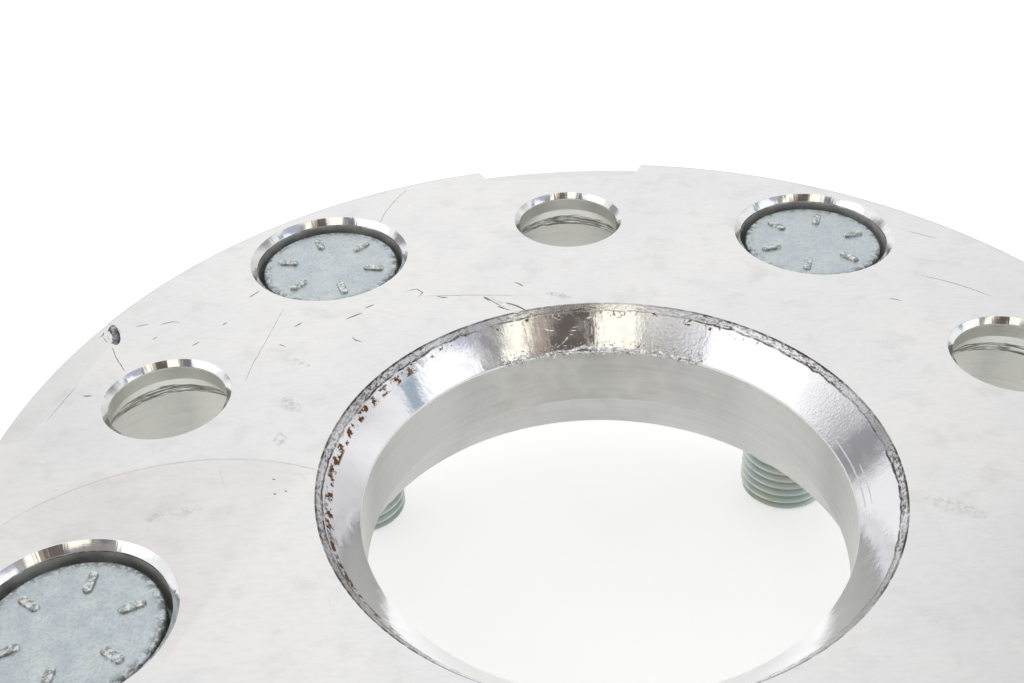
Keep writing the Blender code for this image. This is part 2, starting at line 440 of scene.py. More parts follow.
class Surface(Graph):
    """The node tree of one material, with its Principled shader and its position in millimetres."""

    def __init__(self, name: str, metallic: float, roughness: float) -> None:
        """Make the material and keep what the patterns need.

        Args:
            name: The material's name.
            metallic: Value that is the same all over.
            roughness: Starting value, which a pattern may replace.
        """
        self.material = bpy.data.materials.new(name)
        self.material.use_nodes = True
        super().__init__(self.material.node_tree)
        self.shader = self.tree.nodes["Principled BSDF"]
        self.shader.inputs["Metallic"].default_value = metallic
        self.shader.inputs["Roughness"].default_value = roughness
        place = self.node("ShaderNodeTexCoord").outputs["Object"]
        self.position = self.scaled(place, 1.0 / MM)

    def colour(self, value: Value) -> None:
        """Feed the base colour."""
        self.feed(self.shader.inputs["Base Color"], value)

    def roughness(self, value: Value) -> None:
        """Feed the roughness."""
        self.feed(self.shader.inputs["Roughness"], value)

    def patches(self, size: float, coverage: float, edge: float) -> Socket:
        """Return the mask of dirty patches of a size in millimetres."""
        values = {"Position": self.position, "Size": size, "Coverage": coverage, "Edge": edge}
        return self.use(Group.GRIME, values)["Mask"]

    def band(self, value: Value, low: float, high: float, feather: float) -> Socket:
        """Return the mask of a value that lies between two limits."""
        return self.use(Group.BAND, {"Value": value, "Low": low, "High": high, "Feather": feather})["Mask"]

    def sector(self, middle: float, half: float, feather: float) -> Socket:
        """Return the mask of a range of angles round the axis, given in degrees."""
        angles = {"Middle": middle, "Half": half, "Feather": feather}
        values = {name: math.radians(angle) for name, angle in angles.items()}
        return self.use(Group.SECTOR, {"Position": self.position, **values})["Mask"]

    def hole_space(self, centre: Centre) -> bpy.types.NodeOutputs:
        """Return the angle and the distance round the nearest hole of a circle."""
        circle, first = centre.circle()
        values = {"Position": self.position, "Circle Radius": circle, "First Angle": first}
        return self.use(Group.HOLE_SPACE, values)

    def bump(self, height: Value, depth: float, strength: float = 1.0) -> None:
        """Feed the normal from a height of 0 to 1.

        Args:
            height: The height pattern.
            depth: What a height of 1 stands for, in millimetres.
            strength: Share of the effect.
        """
        made = self.node(
            "ShaderNodeBump",
            {"Strength": strength, "Distance": depth * MM, "Height": height},
        )
        normal = self.shader.inputs["Normal"]
        if normal.is_linked:
            self.feed(made.inputs["Normal"], normal.links[0].from_socket)
        self.feed(normal, made.outputs[0])


def lathe_tree() -> Tree:
    """Build the tree that turns a section about Z and repeats the result round a circle.

    Returns:
        A geometry tree whose input mesh is a row of section points, radius on X and height on Z.
    """
    inputs = {"Segments": 64, "Count": 1, "Circle Radius": 0.0, "First Angle": 0.0}
    graph, source, target = shape_tree("turned_section", inputs)
    section = source["Geometry"]
    size = graph.node("GeometryNodeAttributeDomainSize", {"Geometry": section}, component="MESH")
    rows = size.outputs["Point Count"]
    columns = graph.plus(source["Segments"], 1.0)
    sheet = graph.node("GeometryNodeMeshGrid", {0: 1.0, 1: 1.0, 2: columns, 3: rows}).outputs[0]
    x, y, _ = graph.split(graph.node("GeometryNodeInputPosition").outputs[0])
    row = graph.math("ROUND", graph.times(graph.plus(y, 0.5), graph.minus(rows, 1.0)))
    theta = graph.times(graph.plus(x, 0.5), FULL_TURN)
    sample = graph.node("GeometryNodeSampleIndex", data_type="FLOAT_VECTOR", domain="POINT")
    graph.feed(sample.inputs["Geometry"], section)
    graph.feed(sample.inputs["Value"], graph.node("GeometryNodeInputPosition").outputs[0])
    graph.feed(sample.inputs["Index"], row)
    radius, _, height = graph.split(sample.outputs[0])
    place = graph.around(radius, theta, height)
    turned = graph.node("GeometryNodeSetPosition", {"Geometry": sheet, "Position": place}).outputs[0]
    closed = graph.node("GeometryNodeMergeByDistance", {"Geometry": turned, "Distance": MERGE}).outputs[0]
    repeat_shape(graph, closed, ring_of_points(graph, source), source["Finish"], target)
    return graph.tree


def ring_of_points(graph: Graph, source: bpy.types.NodeOutputs) -> Tuple[Value, Value]:
    """Add points spread evenly round a circle.

    Args:
        graph: The tree's graph.
        source: The tree's inputs, with Count, Circle Radius and First Angle.

    Returns:
        The points, and a rotation that turns X outwards at each of them.
    """
    step = graph.over(FULL_TURN, source["Count"])
    number = graph.node("GeometryNodeInputIndex").outputs[0]
    angle = graph.plus(source["First Angle"], graph.times(number, step))
    place = graph.around(source["Circle Radius"], angle, 0.0)
    points = graph.node("GeometryNodePoints", {"Count": source["Count"], "Position": place}).outputs[0]
    return points, graph.combine(0.0, 0.0, angle)


def repeat_shape(graph: Graph, shape: Value, ring: Tuple[Value, Value], finish: Value, target: Any) -> None:
    """End a tree whose shape is repeated: put it on its points, then dress the copies.

    Args:
        graph: The tree's graph.
        shape: The geometry that is repeated.
        ring: The points and the rotation at each of them.
        finish: The material.
        target: The tree's output node.
    """
    copies = graph.node(
        "GeometryNodeInstanceOnPoints", {"Points": ring[0], "Instance": shape, "Rotation": ring[1]}
    )
    end_tree(graph, copies.outputs[0], finish, target)


def end_tree(graph: Graph, shape: Value, finish: Value, target: Any) -> Tree:
    """End a tree: make its copies real, set their material and feed the output.

    Args:
        graph: The tree's graph.
        shape: The geometry with its copies.
        finish: The material.
        target: The tree's output node.

    Returns:
        The finished tree.
    """
    real = graph.node("GeometryNodeRealizeInstances", {"Geometry": shape}).outputs[0]
    dressed = graph.node("GeometryNodeSetMaterial", {"Geometry": real, "Material": finish}).outputs[0]
    graph.feed(target.inputs[0], dressed)
    return graph.tree


def thread_tree() -> Tree:
    """Build the tree for a right-hand screw thread whose crests follow a helix.

    Returns:
        A geometry tree with the thread's sizes as named inputs.
    """
    inputs = {
        "Crest Radius": 0.007,
        "Root Radius": 0.0061,
        "Pitch": 0.0015,
        "Turns": 20,
        "Low": 0.0,
        "High": 0.03,
        "End Chamfer": 0.001,
    }
    graph, source, target = shape_tree("screw_thread", inputs)
    rows = graph.times(graph.plus(source["Turns"], 2.0), float(THREAD_ROWS))
    sheet = graph.node(
        "GeometryNodeMeshGrid", {0: 1.0, 1: 1.0, 2: THREAD_COLUMNS, 3: graph.plus(rows, 1.0)}
    ).outputs[0]
    x, y, _ = graph.split(graph.node("GeometryNodeInputPosition").outputs[0])
    turn = graph.plus(x, 0.5)
    row = graph.math("ROUND", graph.times(graph.plus(y, 0.5), rows))
    cycle = graph.over(row, float(THREAD_ROWS))
    climb = graph.minus(graph.plus(cycle, turn), 1.0)
    height = graph.plus(source["Low"], graph.times(climb, source["Pitch"]))
    height = graph.math("MINIMUM", graph.larger(height, source["Low"]), source["High"])
    wave = graph.minus(graph.times(graph.math("FRACT", cycle), 2.0), 1.0)
    share = graph.minus(graph.math("ABSOLUTE", wave), 0.2)
    share = graph.math("DIVIDE", share, 0.6, clamp=True)
    depth = graph.minus(source["Crest Radius"], source["Root Radius"])
    radius = graph.plus(source["Root Radius"], graph.times(depth, share))
    end_radius = graph.minus(source["Crest Radius"], source["End Chamfer"])
    cone = graph.plus(end_radius, graph.minus(height, source["Low"]))
    radius = graph.math("MINIMUM", radius, cone)
    theta = graph.times(turn, FULL_TURN)
    place = graph.around(radius, theta, height)
    ridges = graph.node("GeometryNodeSetPosition", {"Geometry": sheet, "Position": place}).outputs[0]
    closed = graph.node("GeometryNodeMergeByDistance", {"Geometry": ridges, "Distance": MERGE}).outputs[0]
    return end_tree(graph, closed, source["Finish"], target)


def splines_tree() -> Tree:
    """Build the tree for the straight knurl under a stud's head.

    Returns:
        A geometry tree with the knurl's sizes as named inputs.
    """
    inputs = {"Ridges": 40, "Outer Radius": 0.0076, "Inner Radius": 0.0072, "Low": 0.0, "High": 0.01}
    graph, source, target = shape_tree("straight_knurl", inputs)
    star = graph.node(
        "GeometryNodeCurveStar",
        {
            "Points": source["Ridges"],
            "Inner Radius": source["Inner Radius"],
            "Outer Radius": source["Outer Radius"],
        },
    ).outputs[0]
    line = graph.node(
        "GeometryNodeCurvePrimitiveLine",
        {"Start": graph.combine(0.0, 0.0, source["Low"]), "End": graph.combine(0.0, 0.0, source["High"])},
    ).outputs[0]
    ridges = graph.node(
        "GeometryNodeCurveToMesh", {"Curve": line, "Profile Curve": star, "Fill Caps": True}
    )
    return end_tree(graph, ridges.outputs[0], source["Finish"], target)


def marks_tree() -> Tree:
    """Build the tree that repeats one raised mark round a stud's head.

    Returns:
        A geometry tree whose input mesh is the mark, laid out along X from the middle.
    """
    inputs = {"Count": 6, "Circle Radius": 0.006, "First Angle": 0.0}
    graph, source, target = shape_tree("raised_marks", inputs)
    repeat_shape(graph, source["Geometry"], ring_of_points(graph, source), source["Finish"], target)
    return graph.tree


def burr_tree() -> Tree:
    """Build the tree that scatters small torn flakes along part of a circular edge.

    Returns:
        A geometry tree whose input mesh is one flake.
    """
    inputs = {
        "Count": 100,
        "Edge Radius": 0.0286,
        "Edge Height": 0.045,
        "Start": 0.0,
        "Sweep": 1.0,
        "Spread": 0.0003,
        "Seed": 7,
    }
    graph, source, target = shape_tree("edge_burrs", inputs)

    def chance(low: Value, high: Value, offset: int) -> Socket:
        """Return a random number for each flake, from the tree's own seed."""
        made = graph.node("FunctionNodeRandomValue", {2: low, 3: high}, data_type="FLOAT")
        graph.feed(made.inputs["Seed"], graph.plus(source["Seed"], float(offset)))
        return made.outputs[1]

    angle = graph.plus(source["Start"], graph.times(source["Sweep"], chance(0.0, 1.0, 0)))
    near = graph.times(source["Spread"], chance(-1.0, 1.0, 1))
    radius = graph.plus(source["Edge Radius"], near)
    height = graph.plus(source["Edge Height"], graph.larger(near, 0.0))
    place = graph.around(radius, angle, height)
    points = graph.node("GeometryNodePoints", {"Count": source["Count"], "Position": place}).outputs[0]
    turn = graph.combine(chance(0.0, FULL_TURN, 2), chance(0.0, FULL_TURN, 3), chance(0.0, FULL_TURN, 4))
    size = graph.math("POWER", chance(0.35, 1.0, 5), 2.0)
    copies = graph.node(
        "GeometryNodeInstanceOnPoints",
        {"Points": points, "Instance": source["Geometry"], "Rotation": turn, "Scale": size},
    )
    return end_tree(graph, copies.outputs[0], source["Finish"], target)


def groove_tree() -> Tree:
    """Build the tree that sweeps a V-shaped cutter along paths on the hub face.

    Returns:
        A geometry tree whose input mesh holds the paths, with half widths as an attribute.
    """
    inputs = {"Depth Share": 0.5, "Rough Share": 0.5, "Seed": 3.0}
    graph, source, target = shape_tree("groove_cutter", inputs)
    width = graph.node(
        "GeometryNodeInputNamedAttribute", {"Name": "half_width"}, data_type="FLOAT"
    ).outputs[0]
    taper = graph.node("GeometryNodeInputNamedAttribute", {"Name": "taper"}, data_type="FLOAT").outputs[0]
    wobble = graph.node("GeometryNodeInputNamedAttribute", {"Name": "wobble"}, data_type="FLOAT").outputs[0]
    place = graph.node("GeometryNodeInputPosition").outputs[0]
    seeded = graph.vector("ADD", graph.scaled(place, 1.0 / MM), graph.combine(source["Seed"], 0.0, 0.0))
    aside = graph.minus(graph.noise(seeded, 0.7, 3.0, 0.6), 0.5)
    aside = graph.times(graph.times(aside, wobble), 2.0 * MM)
    lines = graph.node("GeometryNodeMeshToCurve", {0: source["Geometry"]}).outputs[0]
    lines = graph.node(
        "GeometryNodeSetPosition", {"Geometry": lines, "Offset": graph.combine(aside, aside, 0.0)}
    )
    share = graph.node("GeometryNodeSplineParameter").outputs["Factor"]
    hump = graph.times(graph.times(share, graph.minus(1.0, share)), 4.0)
    slim = graph.math("POWER", graph.larger(hump, 0.02), taper)
    uneven = graph.minus(graph.noise(seeded, 2.2, 2.0, 0.6), 0.5)
    uneven = graph.plus(1.0, graph.times(uneven, graph.times(source["Rough Share"], 3.0)))
    radius = graph.times(graph.times(width, slim), graph.larger(uneven, 0.3))
    radius = graph.times(radius, MM)
    upright = graph.node("GeometryNodeSetCurveNormal", {0: lines.outputs[0]}, mode="Z_UP").outputs[0]
    sized = graph.node("GeometryNodeSetCurveRadius", {"Curve": upright, "Radius": radius}).outputs[0]
    diamond = graph.node("GeometryNodeCurvePrimitiveQuadrilateral", mode="POINTS")
    deep = source["Depth Share"]
    corners = (
        graph.combine(1.0, 0.0, 0.0),
        graph.combine(0.0, deep, 0.0),
        graph.combine(-1.0, 0.0, 0.0),
        graph.combine(0.0, graph.times(deep, -1.0), 0.0),
    )
    for number, corner in enumerate(corners):
        graph.feed(diamond.inputs[f"Point {number + 1}"], corner)
    tube = graph.node("GeometryNodeCurveToMesh", {"Curve": sized, "Profile Curve": diamond.outputs[0]})
    graph.feed(tube.inputs["Fill Caps"], True)
    if "Scale" in tube.inputs:
        graph.feed(tube.inputs["Scale"], radius)
    return end_tree(graph, tube.outputs[0], source["Finish"], target)


def linked(name: str, mesh: Mesh) -> bpy.types.Object:
    """Put a mesh in the scene as an object at the origin."""
    item = bpy.data.objects.new(name, mesh)
    bpy.context.scene.collection.objects.link(item)
    return item


def applied(item: bpy.types.Object) -> Mesh:
    """Take an object's evaluated mesh and remove the object with its modifiers.

    Args:
        item: An object whose modifiers make the wanted shape.

    Returns:
        The plain mesh.
    """
    bpy.context.view_layer.update()
    evaluated = item.evaluated_get(bpy.context.evaluated_depsgraph_get())
    mesh = bpy.data.meshes.new_from_object(evaluated)
    item.modifiers.clear()
    bpy.data.objects.remove(item)
    return mesh


def grown(tree: Tree, base: Mesh, values: Dict[str, Any]) -> Mesh:
    """Run a geometry tree on a mesh.

    Args:
        tree: The geometry tree.
        base: The mesh that goes in.
        values: The tree's inputs by name.

    Returns:
        The plain mesh that comes out.
    """
    item = linked("work", base)
    modifier = item.modifiers.new("Nodes", "NODES")
    modifier.node_group = tree
    for entry in tree.interface.items_tree:
        if entry.item_type == "SOCKET" and entry.in_out == "INPUT" and entry.name in values:
            modifier[entry.identifier] = values[entry.name]
    return applied(item)


def joined(name: str, meshes: Sequence[Mesh], merge: float = MERGE) -> Mesh:
    """Join meshes into one closed mesh that keeps their materials.

    Args:
        name: The new mesh's name.
        meshes: The meshes to join.
        merge: Distance in metres under which points become one.

    Returns:
        The joined mesh, with its faces turned outwards.
    """
    finishes: List[Material] = []
    work = bmesh.new()
    for mesh in meshes:
        for material in mesh.materials:
            if material not in finishes:
                finishes.append(material)
        numbers = [finishes.index(material) for material in mesh.materials]
        for polygon in mesh.polygons:
            polygon.material_index = numbers[polygon.material_index]
        work.from_mesh(mesh)
    bmesh.ops.remove_doubles(work, verts=work.verts, dist=merge)
    bmesh.ops.dissolve_degenerate(work, edges=work.edges, dist=merge)
    bmesh.ops.recalc_face_normals(work, faces=work.faces)
    return closed_mesh(name, work, *finishes)


def cut(body: Mesh, tool: Mesh, overlaps: bool = False) -> Mesh:
    """Cut one closed mesh out of another; the new walls keep the tool's materials.

    Args:
        body: The mesh that is cut.
        tool: The mesh that is taken away.
        overlaps: Whether parts of the tool cross each other.

    Returns:
        The cut mesh.
    """
    item = linked("work_body", body)
    cutter = linked("work_tool", tool)
    modifier = item.modifiers.new("Cut", "BOOLEAN")
    modifier.operation = "DIFFERENCE"
    modifier.solver = "EXACT"
    modifier.material_mode = "TRANSFER"
    modifier.use_self = overlaps
    modifier.object = cutter
    result = applied(item)
    bpy.data.objects.remove(cutter)
    return result


def crease(mesh: Mesh, angle: float, flat_up: float = 0.9999) -> None:
    """Shade a mesh smoothly, but keep true edges sharp and level faces flat.

    Args:
        mesh: The mesh.
        angle: Angle in degrees above which an edge is sharp.
        flat_up: How upright a normal must be for its face to count as level.
    """
    work = bmesh.new()
    work.from_mesh(mesh)
    limit = math.radians(angle)
    for face in work.faces:
        face.smooth = True
    for edge in work.edges:
        turn = edge.calc_face_angle(math.pi)
        levels = [abs(face.normal.z) > flat_up for face in edge.link_faces]
        edge.smooth = turn < limit and (all(levels) or not any(levels))
    work.to_mesh(mesh)
    work.free()


def closed_mesh(name: str, work: bmesh.types.BMesh, *finishes: Material) -> Mesh:
    """Turn a bmesh into a mesh with its materials, and free the bmesh.

    Args:
        name: The mesh's name.
        work: The bmesh.
        *finishes: The materials, in the order of its material numbers.

    Returns:
        The mesh.
    """
    mesh = bpy.data.meshes.new(name)
    work.to_mesh(mesh)
    work.free()
    for finish in finishes:
        mesh.materials.append(finish)
    return mesh


def row_mesh(points: Sequence[Point]) -> Mesh:
    """Make a mesh of section points.

    Args:
        points: Radius and height of each point, in millimetres.

    Returns:
        A line of edges in the plane of X and Z.
    """
    mesh = bpy.data.meshes.new("section")
    places = [(radius * MM, 0.0, height * MM) for radius, height in points]
    edges = [(index, index + 1) for index in range(len(places) - 1)]
    mesh.from_pydata(places, edges, [])
    return mesh


def rounded(points: Sequence[Point], radii: Dict[int, float], steps: int = 4) -> List[Point]:
    """Round some corners of an open line of points.

    Args:
        points: The line's points.
        radii: The radius for each corner that is rounded, by its index.
        steps: Number of straight steps in each rounded corner.

    Returns:
        The new points.
    """
    result: List[Point] = []
    for index, point in enumerate(points):
        radius = radii.get(index, 0.0)
        if radius <= 0.0 or index in (0, len(points) - 1):
            result.append(point)
            continue
        corner = Vector(point)
        before = (Vector(points[index - 1]) - corner).normalized()
        after = (Vector(points[index + 1]) - corner).normalized()
        half = before.angle(after) / 2
        reach = radius / math.tan(half)
        centre = corner + (before + after).normalized() * (radius / math.sin(half))
        first = corner + before * reach - centre
        last = corner + after * reach - centre
        sweep = first.angle(last)
        turn = 1.0 if first.x * last.y - first.y * last.x > 0 else -1.0
        for step in range(steps + 1):
            angle = turn * sweep * step / steps
            x = first.x * math.cos(angle) - first.y * math.sin(angle)
            y = first.x * math.sin(angle) + first.y * math.cos(angle)
            result.append((centre.x + x, centre.y + y))
    return result


@dataclass(frozen=True)
class Section:
    """One stretch of a turned section and the finish of its surface."""

    points: Tuple[Point, ...]
    finish: Material


@dataclass(frozen=True)
class Spread:
    """How a turned shape is divided and repeated."""

    segments: int
    count: int = 1
    circle: float = 0.0
    first_angle: float = 0.0


def turned(name: str, sections: Sequence[Section], spread: Spread) -> Mesh:
    """Turn sections about Z with the lathe tree, and join them into closed solids.

    Args:
        name: The mesh's name.
        sections: The stretches, each of which starts where the one before ends.
        spread: Segments, and the circle that the shape is repeated on.

    Returns:
        One mesh with the material of each stretch.
    """
    tree = bpy.data.node_groups["turned_section"]
    meshes = []
    for section in sections:
        values = {
            "Segments": spread.segments,
            "Count": spread.count,
            "Circle Radius": spread.circle * MM,
            "First Angle": spread.first_angle,
            "Finish": section.finish,
        }
        meshes.append(grown(tree, row_mesh(section.points), values))
    return joined(name, meshes)


@dataclass(frozen=True)
class Groove:
    """One scratch or raised burr: its path, on the hub face unless heights are given, and its half width."""

    path: Tuple[Tuple[float, ...], ...]
    half_width: float = 0.13
    taper: float = 0.5
    wobble: float = 0.12


@dataclass(frozen=True)
class Smudge:
    """One soft stain on the hub face, in plan."""

    start: Point
    end: Point
    half_width: float
    strength: float = 0.2


FACE_GROOVES: Tuple[Groove, ...] = (
    Groove(((-21.2, 37.0), (-15.0, 36.7), (-9.0, 36.0)), 0.05),
    Groove(((-23.6, 38.6), (-22.4, 38.9), (-21.6, 37.9), (-22.2, 36.8)), 0.09),
    Groove(((-19.7, 36.9), (-18.9, 36.5), (-18.1, 36.4)), 0.13),
    Groove(((-8.9, 39.3), (-8.3, 38.9), (-7.6, 38.2)), 0.12),
    Groove(((-31.9, 32.4), (-30.9, 33.0), (-29.8, 33.7)), 0.14),
    Groove(((-29.4, 34.8), (-28.2, 35.6)), 0.1),
    Groove(((-38.7, 31.2), (-37.7, 32.2)), 0.1),
    Groove(((-30.8, 28.2), (-30.3, 27.4), (-29.4, 27.0)), 0.1),
    Groove(((-40.3, 27.4), (-39.4, 26.8)), 0.09),
    Groove(((-64.0, 18.5), (-62.7, 18.4)), 0.12),
    Groove(((-60.2, 33.2), (-58.5, 33.7)), 0.09),
    Groove(((-57.0, 33.4), (-55.6, 33.9), (-54.3, 33.7)), 0.09),
    Groove(((-57.4, 30.0), (-56.8, 30.6)), 0.1),
    Groove(((-51.8, 28.1), (-51.0, 28.9)), 0.1),
    Groove(((-48.5, 32.5), (-47.9, 33.1)), 0.09),
    Groove(((-45.7, 38.9), (-44.4, 40.5)), 0.1),
    Groove(((-40.6, 35.8), (-41.9, 29.3), (-43.2, 23.7), (-43.8, 19.7)), 0.03, 0.2),
    Groove(((-24.4, 67.6), (-26.2, 64.2), (-27.6, 60.7), (-28.4, 57.2)), 0.04, 0.3),
    Groove(((-65.1, 21.0), (-65.9, 18.4), (-67.3, 13.7)), 0.035, 0.3),
    Groove(((-62.5, 28.8), (-61.4, 26.3), (-59.7, 23.2)), 0.06, 0.3),
    Groove(((47.2, 35.9), (51.3, 33.2), (55.0, 29.8)), 0.06, 0.4),
    Groove(((48.9, 47.4), (52.4, 45.0)), 0.06, 0.4),
    Groove(((41.2, 30.7), (42.8, 29.9)), 0.08),
    Groove(((-38.3, 1.1), (-37.9, 0.8)), 0.12),
    Groove(((-37.9, -1.4), (-37.6, -1.7)), 0.12),
    Groove(((-36.7, -1.0), (-36.4, -1.3)), 0.12),
)

FACE_SMUDGES: Tuple[Smudge, ...] = (
    Smudge((-38.4, 15.6), (-36.7, 13.4), 1.6, 0.3),
    Smudge((-38.2, 8.9), (-38.1, 7.1), 1.3, 0.3),
    Smudge((-51.6, -4.6), (-46.0, -3.4), 1.3, 0.22),
    Smudge((-4.4, 36.2), (-1.4, 34.9), 0.9, 0.35),
    Smudge((34.5, -8.0), (39.5, -11.0), 1.8, 0.25),
    Smudge((-37.9, 23.8), (-35.9, 22.3), 0.5, 0.5),
)


@dataclass(frozen=True)
class WitnessMark:
    """One long curved mark on the hub face that another part has left, in plan."""

    centre: Point
    radius: float
    first: float
    last: float
    half_width: float = 0.07

    def groove(self) -> Groove:
        """Return the mark as a groove of short steps."""
        path = []
        for step in range(MARK_STEPS + 1):
            angle = math.radians(self.first + (self.last - self.first) * step / MARK_STEPS)
            x = self.centre[0] + self.radius * math.cos(angle)
            y = self.centre[1] + self.radius * math.sin(angle)
            path.append((x, y))
        return Groove(tuple(path), self.half_width, 0.15, 0.05)


WITNESS_MARKS: Tuple[WitnessMark, ...] = (WitnessMark((-46.0, -25.0), 30.0, 136.0, 64.0, 0.11),)

MOUTH_GOUGES: Tuple[Groove, ...] = (
    Groove(((-12.6, 35.9), (-11.0, 34.4), (-9.9, 33.2), (-8.9, 32.2), (-7.9, 31.2)), 0.55, 0.45, 0.1),
)

# Creases beside the gouge: their dark grey walls are painted shade along the gouge.
MOUTH_CREASES: Tuple[Groove, ...] = (
    Groove(((-13.3, 36.2), (-12.4, 35.4), (-11.6, 34.5), (-10.5, 33.1)), 0.16, 0.4, 0.06),
    Groove(((-13.2, 35.9), (-12.6, 35.4), (-12.1, 35.0)), 0.24, 0.4, 0.08),
    Groove(((-11.4, 33.6), (-10.3, 33.0), (-9.6, 32.5)), 0.2, 0.4, 0.08),
    Groove(((-10.4, 34.4), (-9.4, 33.9), (-8.3, 33.0), (-7.5, 32.1)), 0.16, 0.3, 0.06),
)

MOUTH_RIDGES: Tuple[Groove, ...] = (
    Groove(
        ((-11.7, 35.7, 49.42), (-10.2, 34.2, 49.4), (-9.0, 33.2, 49.36), (-7.8, 32.1, 49.3)), 0.2, 0.5, 0.12
    ),
    Groove(((-8.7, 31.6, 49.1), (-7.9, 31.6, 49.15), (-7.3, 32.0, 49.25)), 0.3, 0.4, 0.12),
)

CHAMFER_SCRATCHES: Tuple[Groove, ...] = (
    Groove(((-5.15, 29.87, 46.71), (-4.79, 29.52, 46.30), (-4.47, 29.13, 45.87)), 0.1, 0.4, 0.04),
    Groove(((-4.47, 29.13, 45.87), (-4.09, 28.95, 45.66), (-3.73, 28.97, 45.62)), 0.08, 0.4, 0.04),
    Groove(((-3.73, 28.97, 45.62), (-3.2, 29.2, 45.8)), 0.09, 0.4, 0.04),
    Groove(((-3.15, 29.22, 45.82), (-2.55, 29.6, 46.14)), 0.14, 0.5, 0.04),
    Groove(((-2.6, 29.55, 46.1), (-2.1, 30.0, 46.5)), 0.16, 0.5, 0.04),
    Groove(((-1.75, 30.4, 46.86), (-1.5, 30.7, 47.14)), 0.07, 0.5, 0.04),
    Groove(((-1.95, 30.2, 46.68), (-1.35, 30.25, 46.70)), 0.1, 0.6, 0.05),
    Groove(((-1.85, 30.57, 47.04), (-0.81, 30.63, 47.06)), 0.11, 0.6, 0.05),
    Groove(((-1.52, 30.90, 47.35), (-0.61, 30.96, 47.39)), 0.1, 0.6, 0.05),
    Groove(((-5.24, 30.67, 47.54), (-4.63, 30.56, 47.33), (-3.93, 30.57, 47.24)), 0.16, 0.5, 0.05),
    Groove(((-3.98, 32.20, 48.86), (-4.02, 31.71, 48.38)), 0.09, 0.6, 0.05),
    Groove(((-3.23, 32.28, 48.86), (-3.26, 31.95, 48.53)), 0.09, 0.6, 0.05),
    Groove(((0.48, 31.73, 48.15), (1.03, 31.80, 48.23), (1.56, 31.69, 48.15)), 0.14, 0.5, 0.2),
)

RIM_CHIP: Tuple[Groove, ...] = (
    Groove(((-64.2, 33.2, 49.3), (-63.6, 31.6, 49.32), (-62.9, 29.8, 49.34)), 0.4, 0.4, 0.1),
)

# The curled burr's dark grey finish is painted shade along the curl.
RIM_CURL: Tuple[Groove, ...] = (
    Groove(
        ((-64.9, 31.1, 49.4), (-64.5, 31.5, 49.42), (-64.3, 32.0, 49.42), (-64.45, 32.7, 49.4)),
        0.13,
        0.3,
        0.05,
    ),
    Groove(((-64.4, 31.6, 49.42), (-63.8, 30.6, 49.42), (-63.1, 29.6, 49.4)), 0.11, 0.4, 0.05),
)


@dataclass(frozen=True)
class FaceFinish:
    """Fine-turned flat face with hairlines, handling marks and soft stains."""

    name: str
    tone: float = 242.0
    stain: float = 0.35
    smudges: Tuple[Smudge, ...] = ()
    marks: Tuple[WitnessMark, ...] = ()
    hairline_directions: Tuple[float, ...] = (0.35, -0.9, 1.35)

    def material(self) -> Material:
        """Build the material."""
        surface = Surface(self.name, 1.0, 0.34)
        place = surface.position
        cloud = surface.noise(place, 0.05, 3.0, 0.55)
        tint = surface.mixed(
            surface.ramp(cloud, 0.35, 0.65),
            linear(self.tone - 5, self.tone - 5, self.tone - 4),
            linear(self.tone + 2, self.tone + 1, self.tone),
        )
        blotches = surface.ramp(surface.noise(place, 0.22, 4.0, 0.6), 0.5, 0.72)
        tint = surface.multiplied(surface.times(blotches, 0.16), tint, linear(196, 195, 194))
        grain = surface.noise(surface.vector("MULTIPLY", place, (0.7, 2.2, 1.0)), 1.0, 4.0, 0.7)
        shade = surface.times(surface.ramp(grain, 0.4, 0.7), 0.1)
        tint = surface.multiplied(shade, tint, linear(200, 199, 198))
        stains = surface.patches(9.0, self.stain, 0.2)
        tint = surface.multiplied(surface.times(stains, 0.08), tint, linear(200, 194, 188))
        specks = surface.patches(0.55, 0.05, 0.05)
        tint = surface.mixed(surface.times(specks, 0.4), tint, linear(140, 136, 132))
        height: Value = surface.times(grain, 0.4)
        for number, direction in enumerate(self.hairline_directions):
            values = {
                "Position": surface.vector("ADD", place, (17.0 * number, 5.0 * number, 0.0)),
                "Direction": direction,
                "Length": 14.0 - 3.0 * number,
                "Spacing": 0.32 + 0.08 * number,
                "Threshold": 0.64 + 0.02 * number,
            }
            lines = surface.use(Group.HAIRLINES, values)["Mask"]
            height = surface.minus(height, surface.times(lines, 0.25))
            tint = surface.multiplied(surface.times(lines, 0.1), tint, linear(176, 174, 172))
        worn: Value = 0.0
        for smudge in self.smudges:
            values = {
                "Position": place,
                "Start": (*smudge.start, HUB_FACE),
                "End": (*smudge.end, HUB_FACE),
                "Half Width": smudge.half_width,
                "Taper": 0.6,
            }
            mask = surface.times(surface.use(Group.STROKE, values)["Mask"], smudge.strength)
            worn = surface.larger(worn, mask)
        for mark in self.marks:
            values = {
                "Position": place,
                "Centre": (*mark.centre, 0.0),
                "Radius": mark.radius,
                "Middle": math.radians((mark.first + mark.last) / 2),
                "Reach": math.radians(abs(mark.first - mark.last) / 2),
            }
            warm = surface.times(surface.use(Group.ARC, values)["Inside"], 0.5)
            tint = surface.multiplied(warm, tint, linear(246, 241, 240))
        if self.smudges:
            flecks = surface.noise(place, 1.6, 4.0, 0.7)
            worn = surface.times(worn, surface.ramp(flecks, 0.42, 0.66, 0.0, 1.0))
            tint = surface.mixed(worn, tint, linear(120, 114, 108))
        surface.colour(tint)
        surface.roughness(surface.ramp(cloud, 0.3, 0.7, 0.31, 0.38))
        surface.bump(height, 0.014, 0.6)
        return surface.material


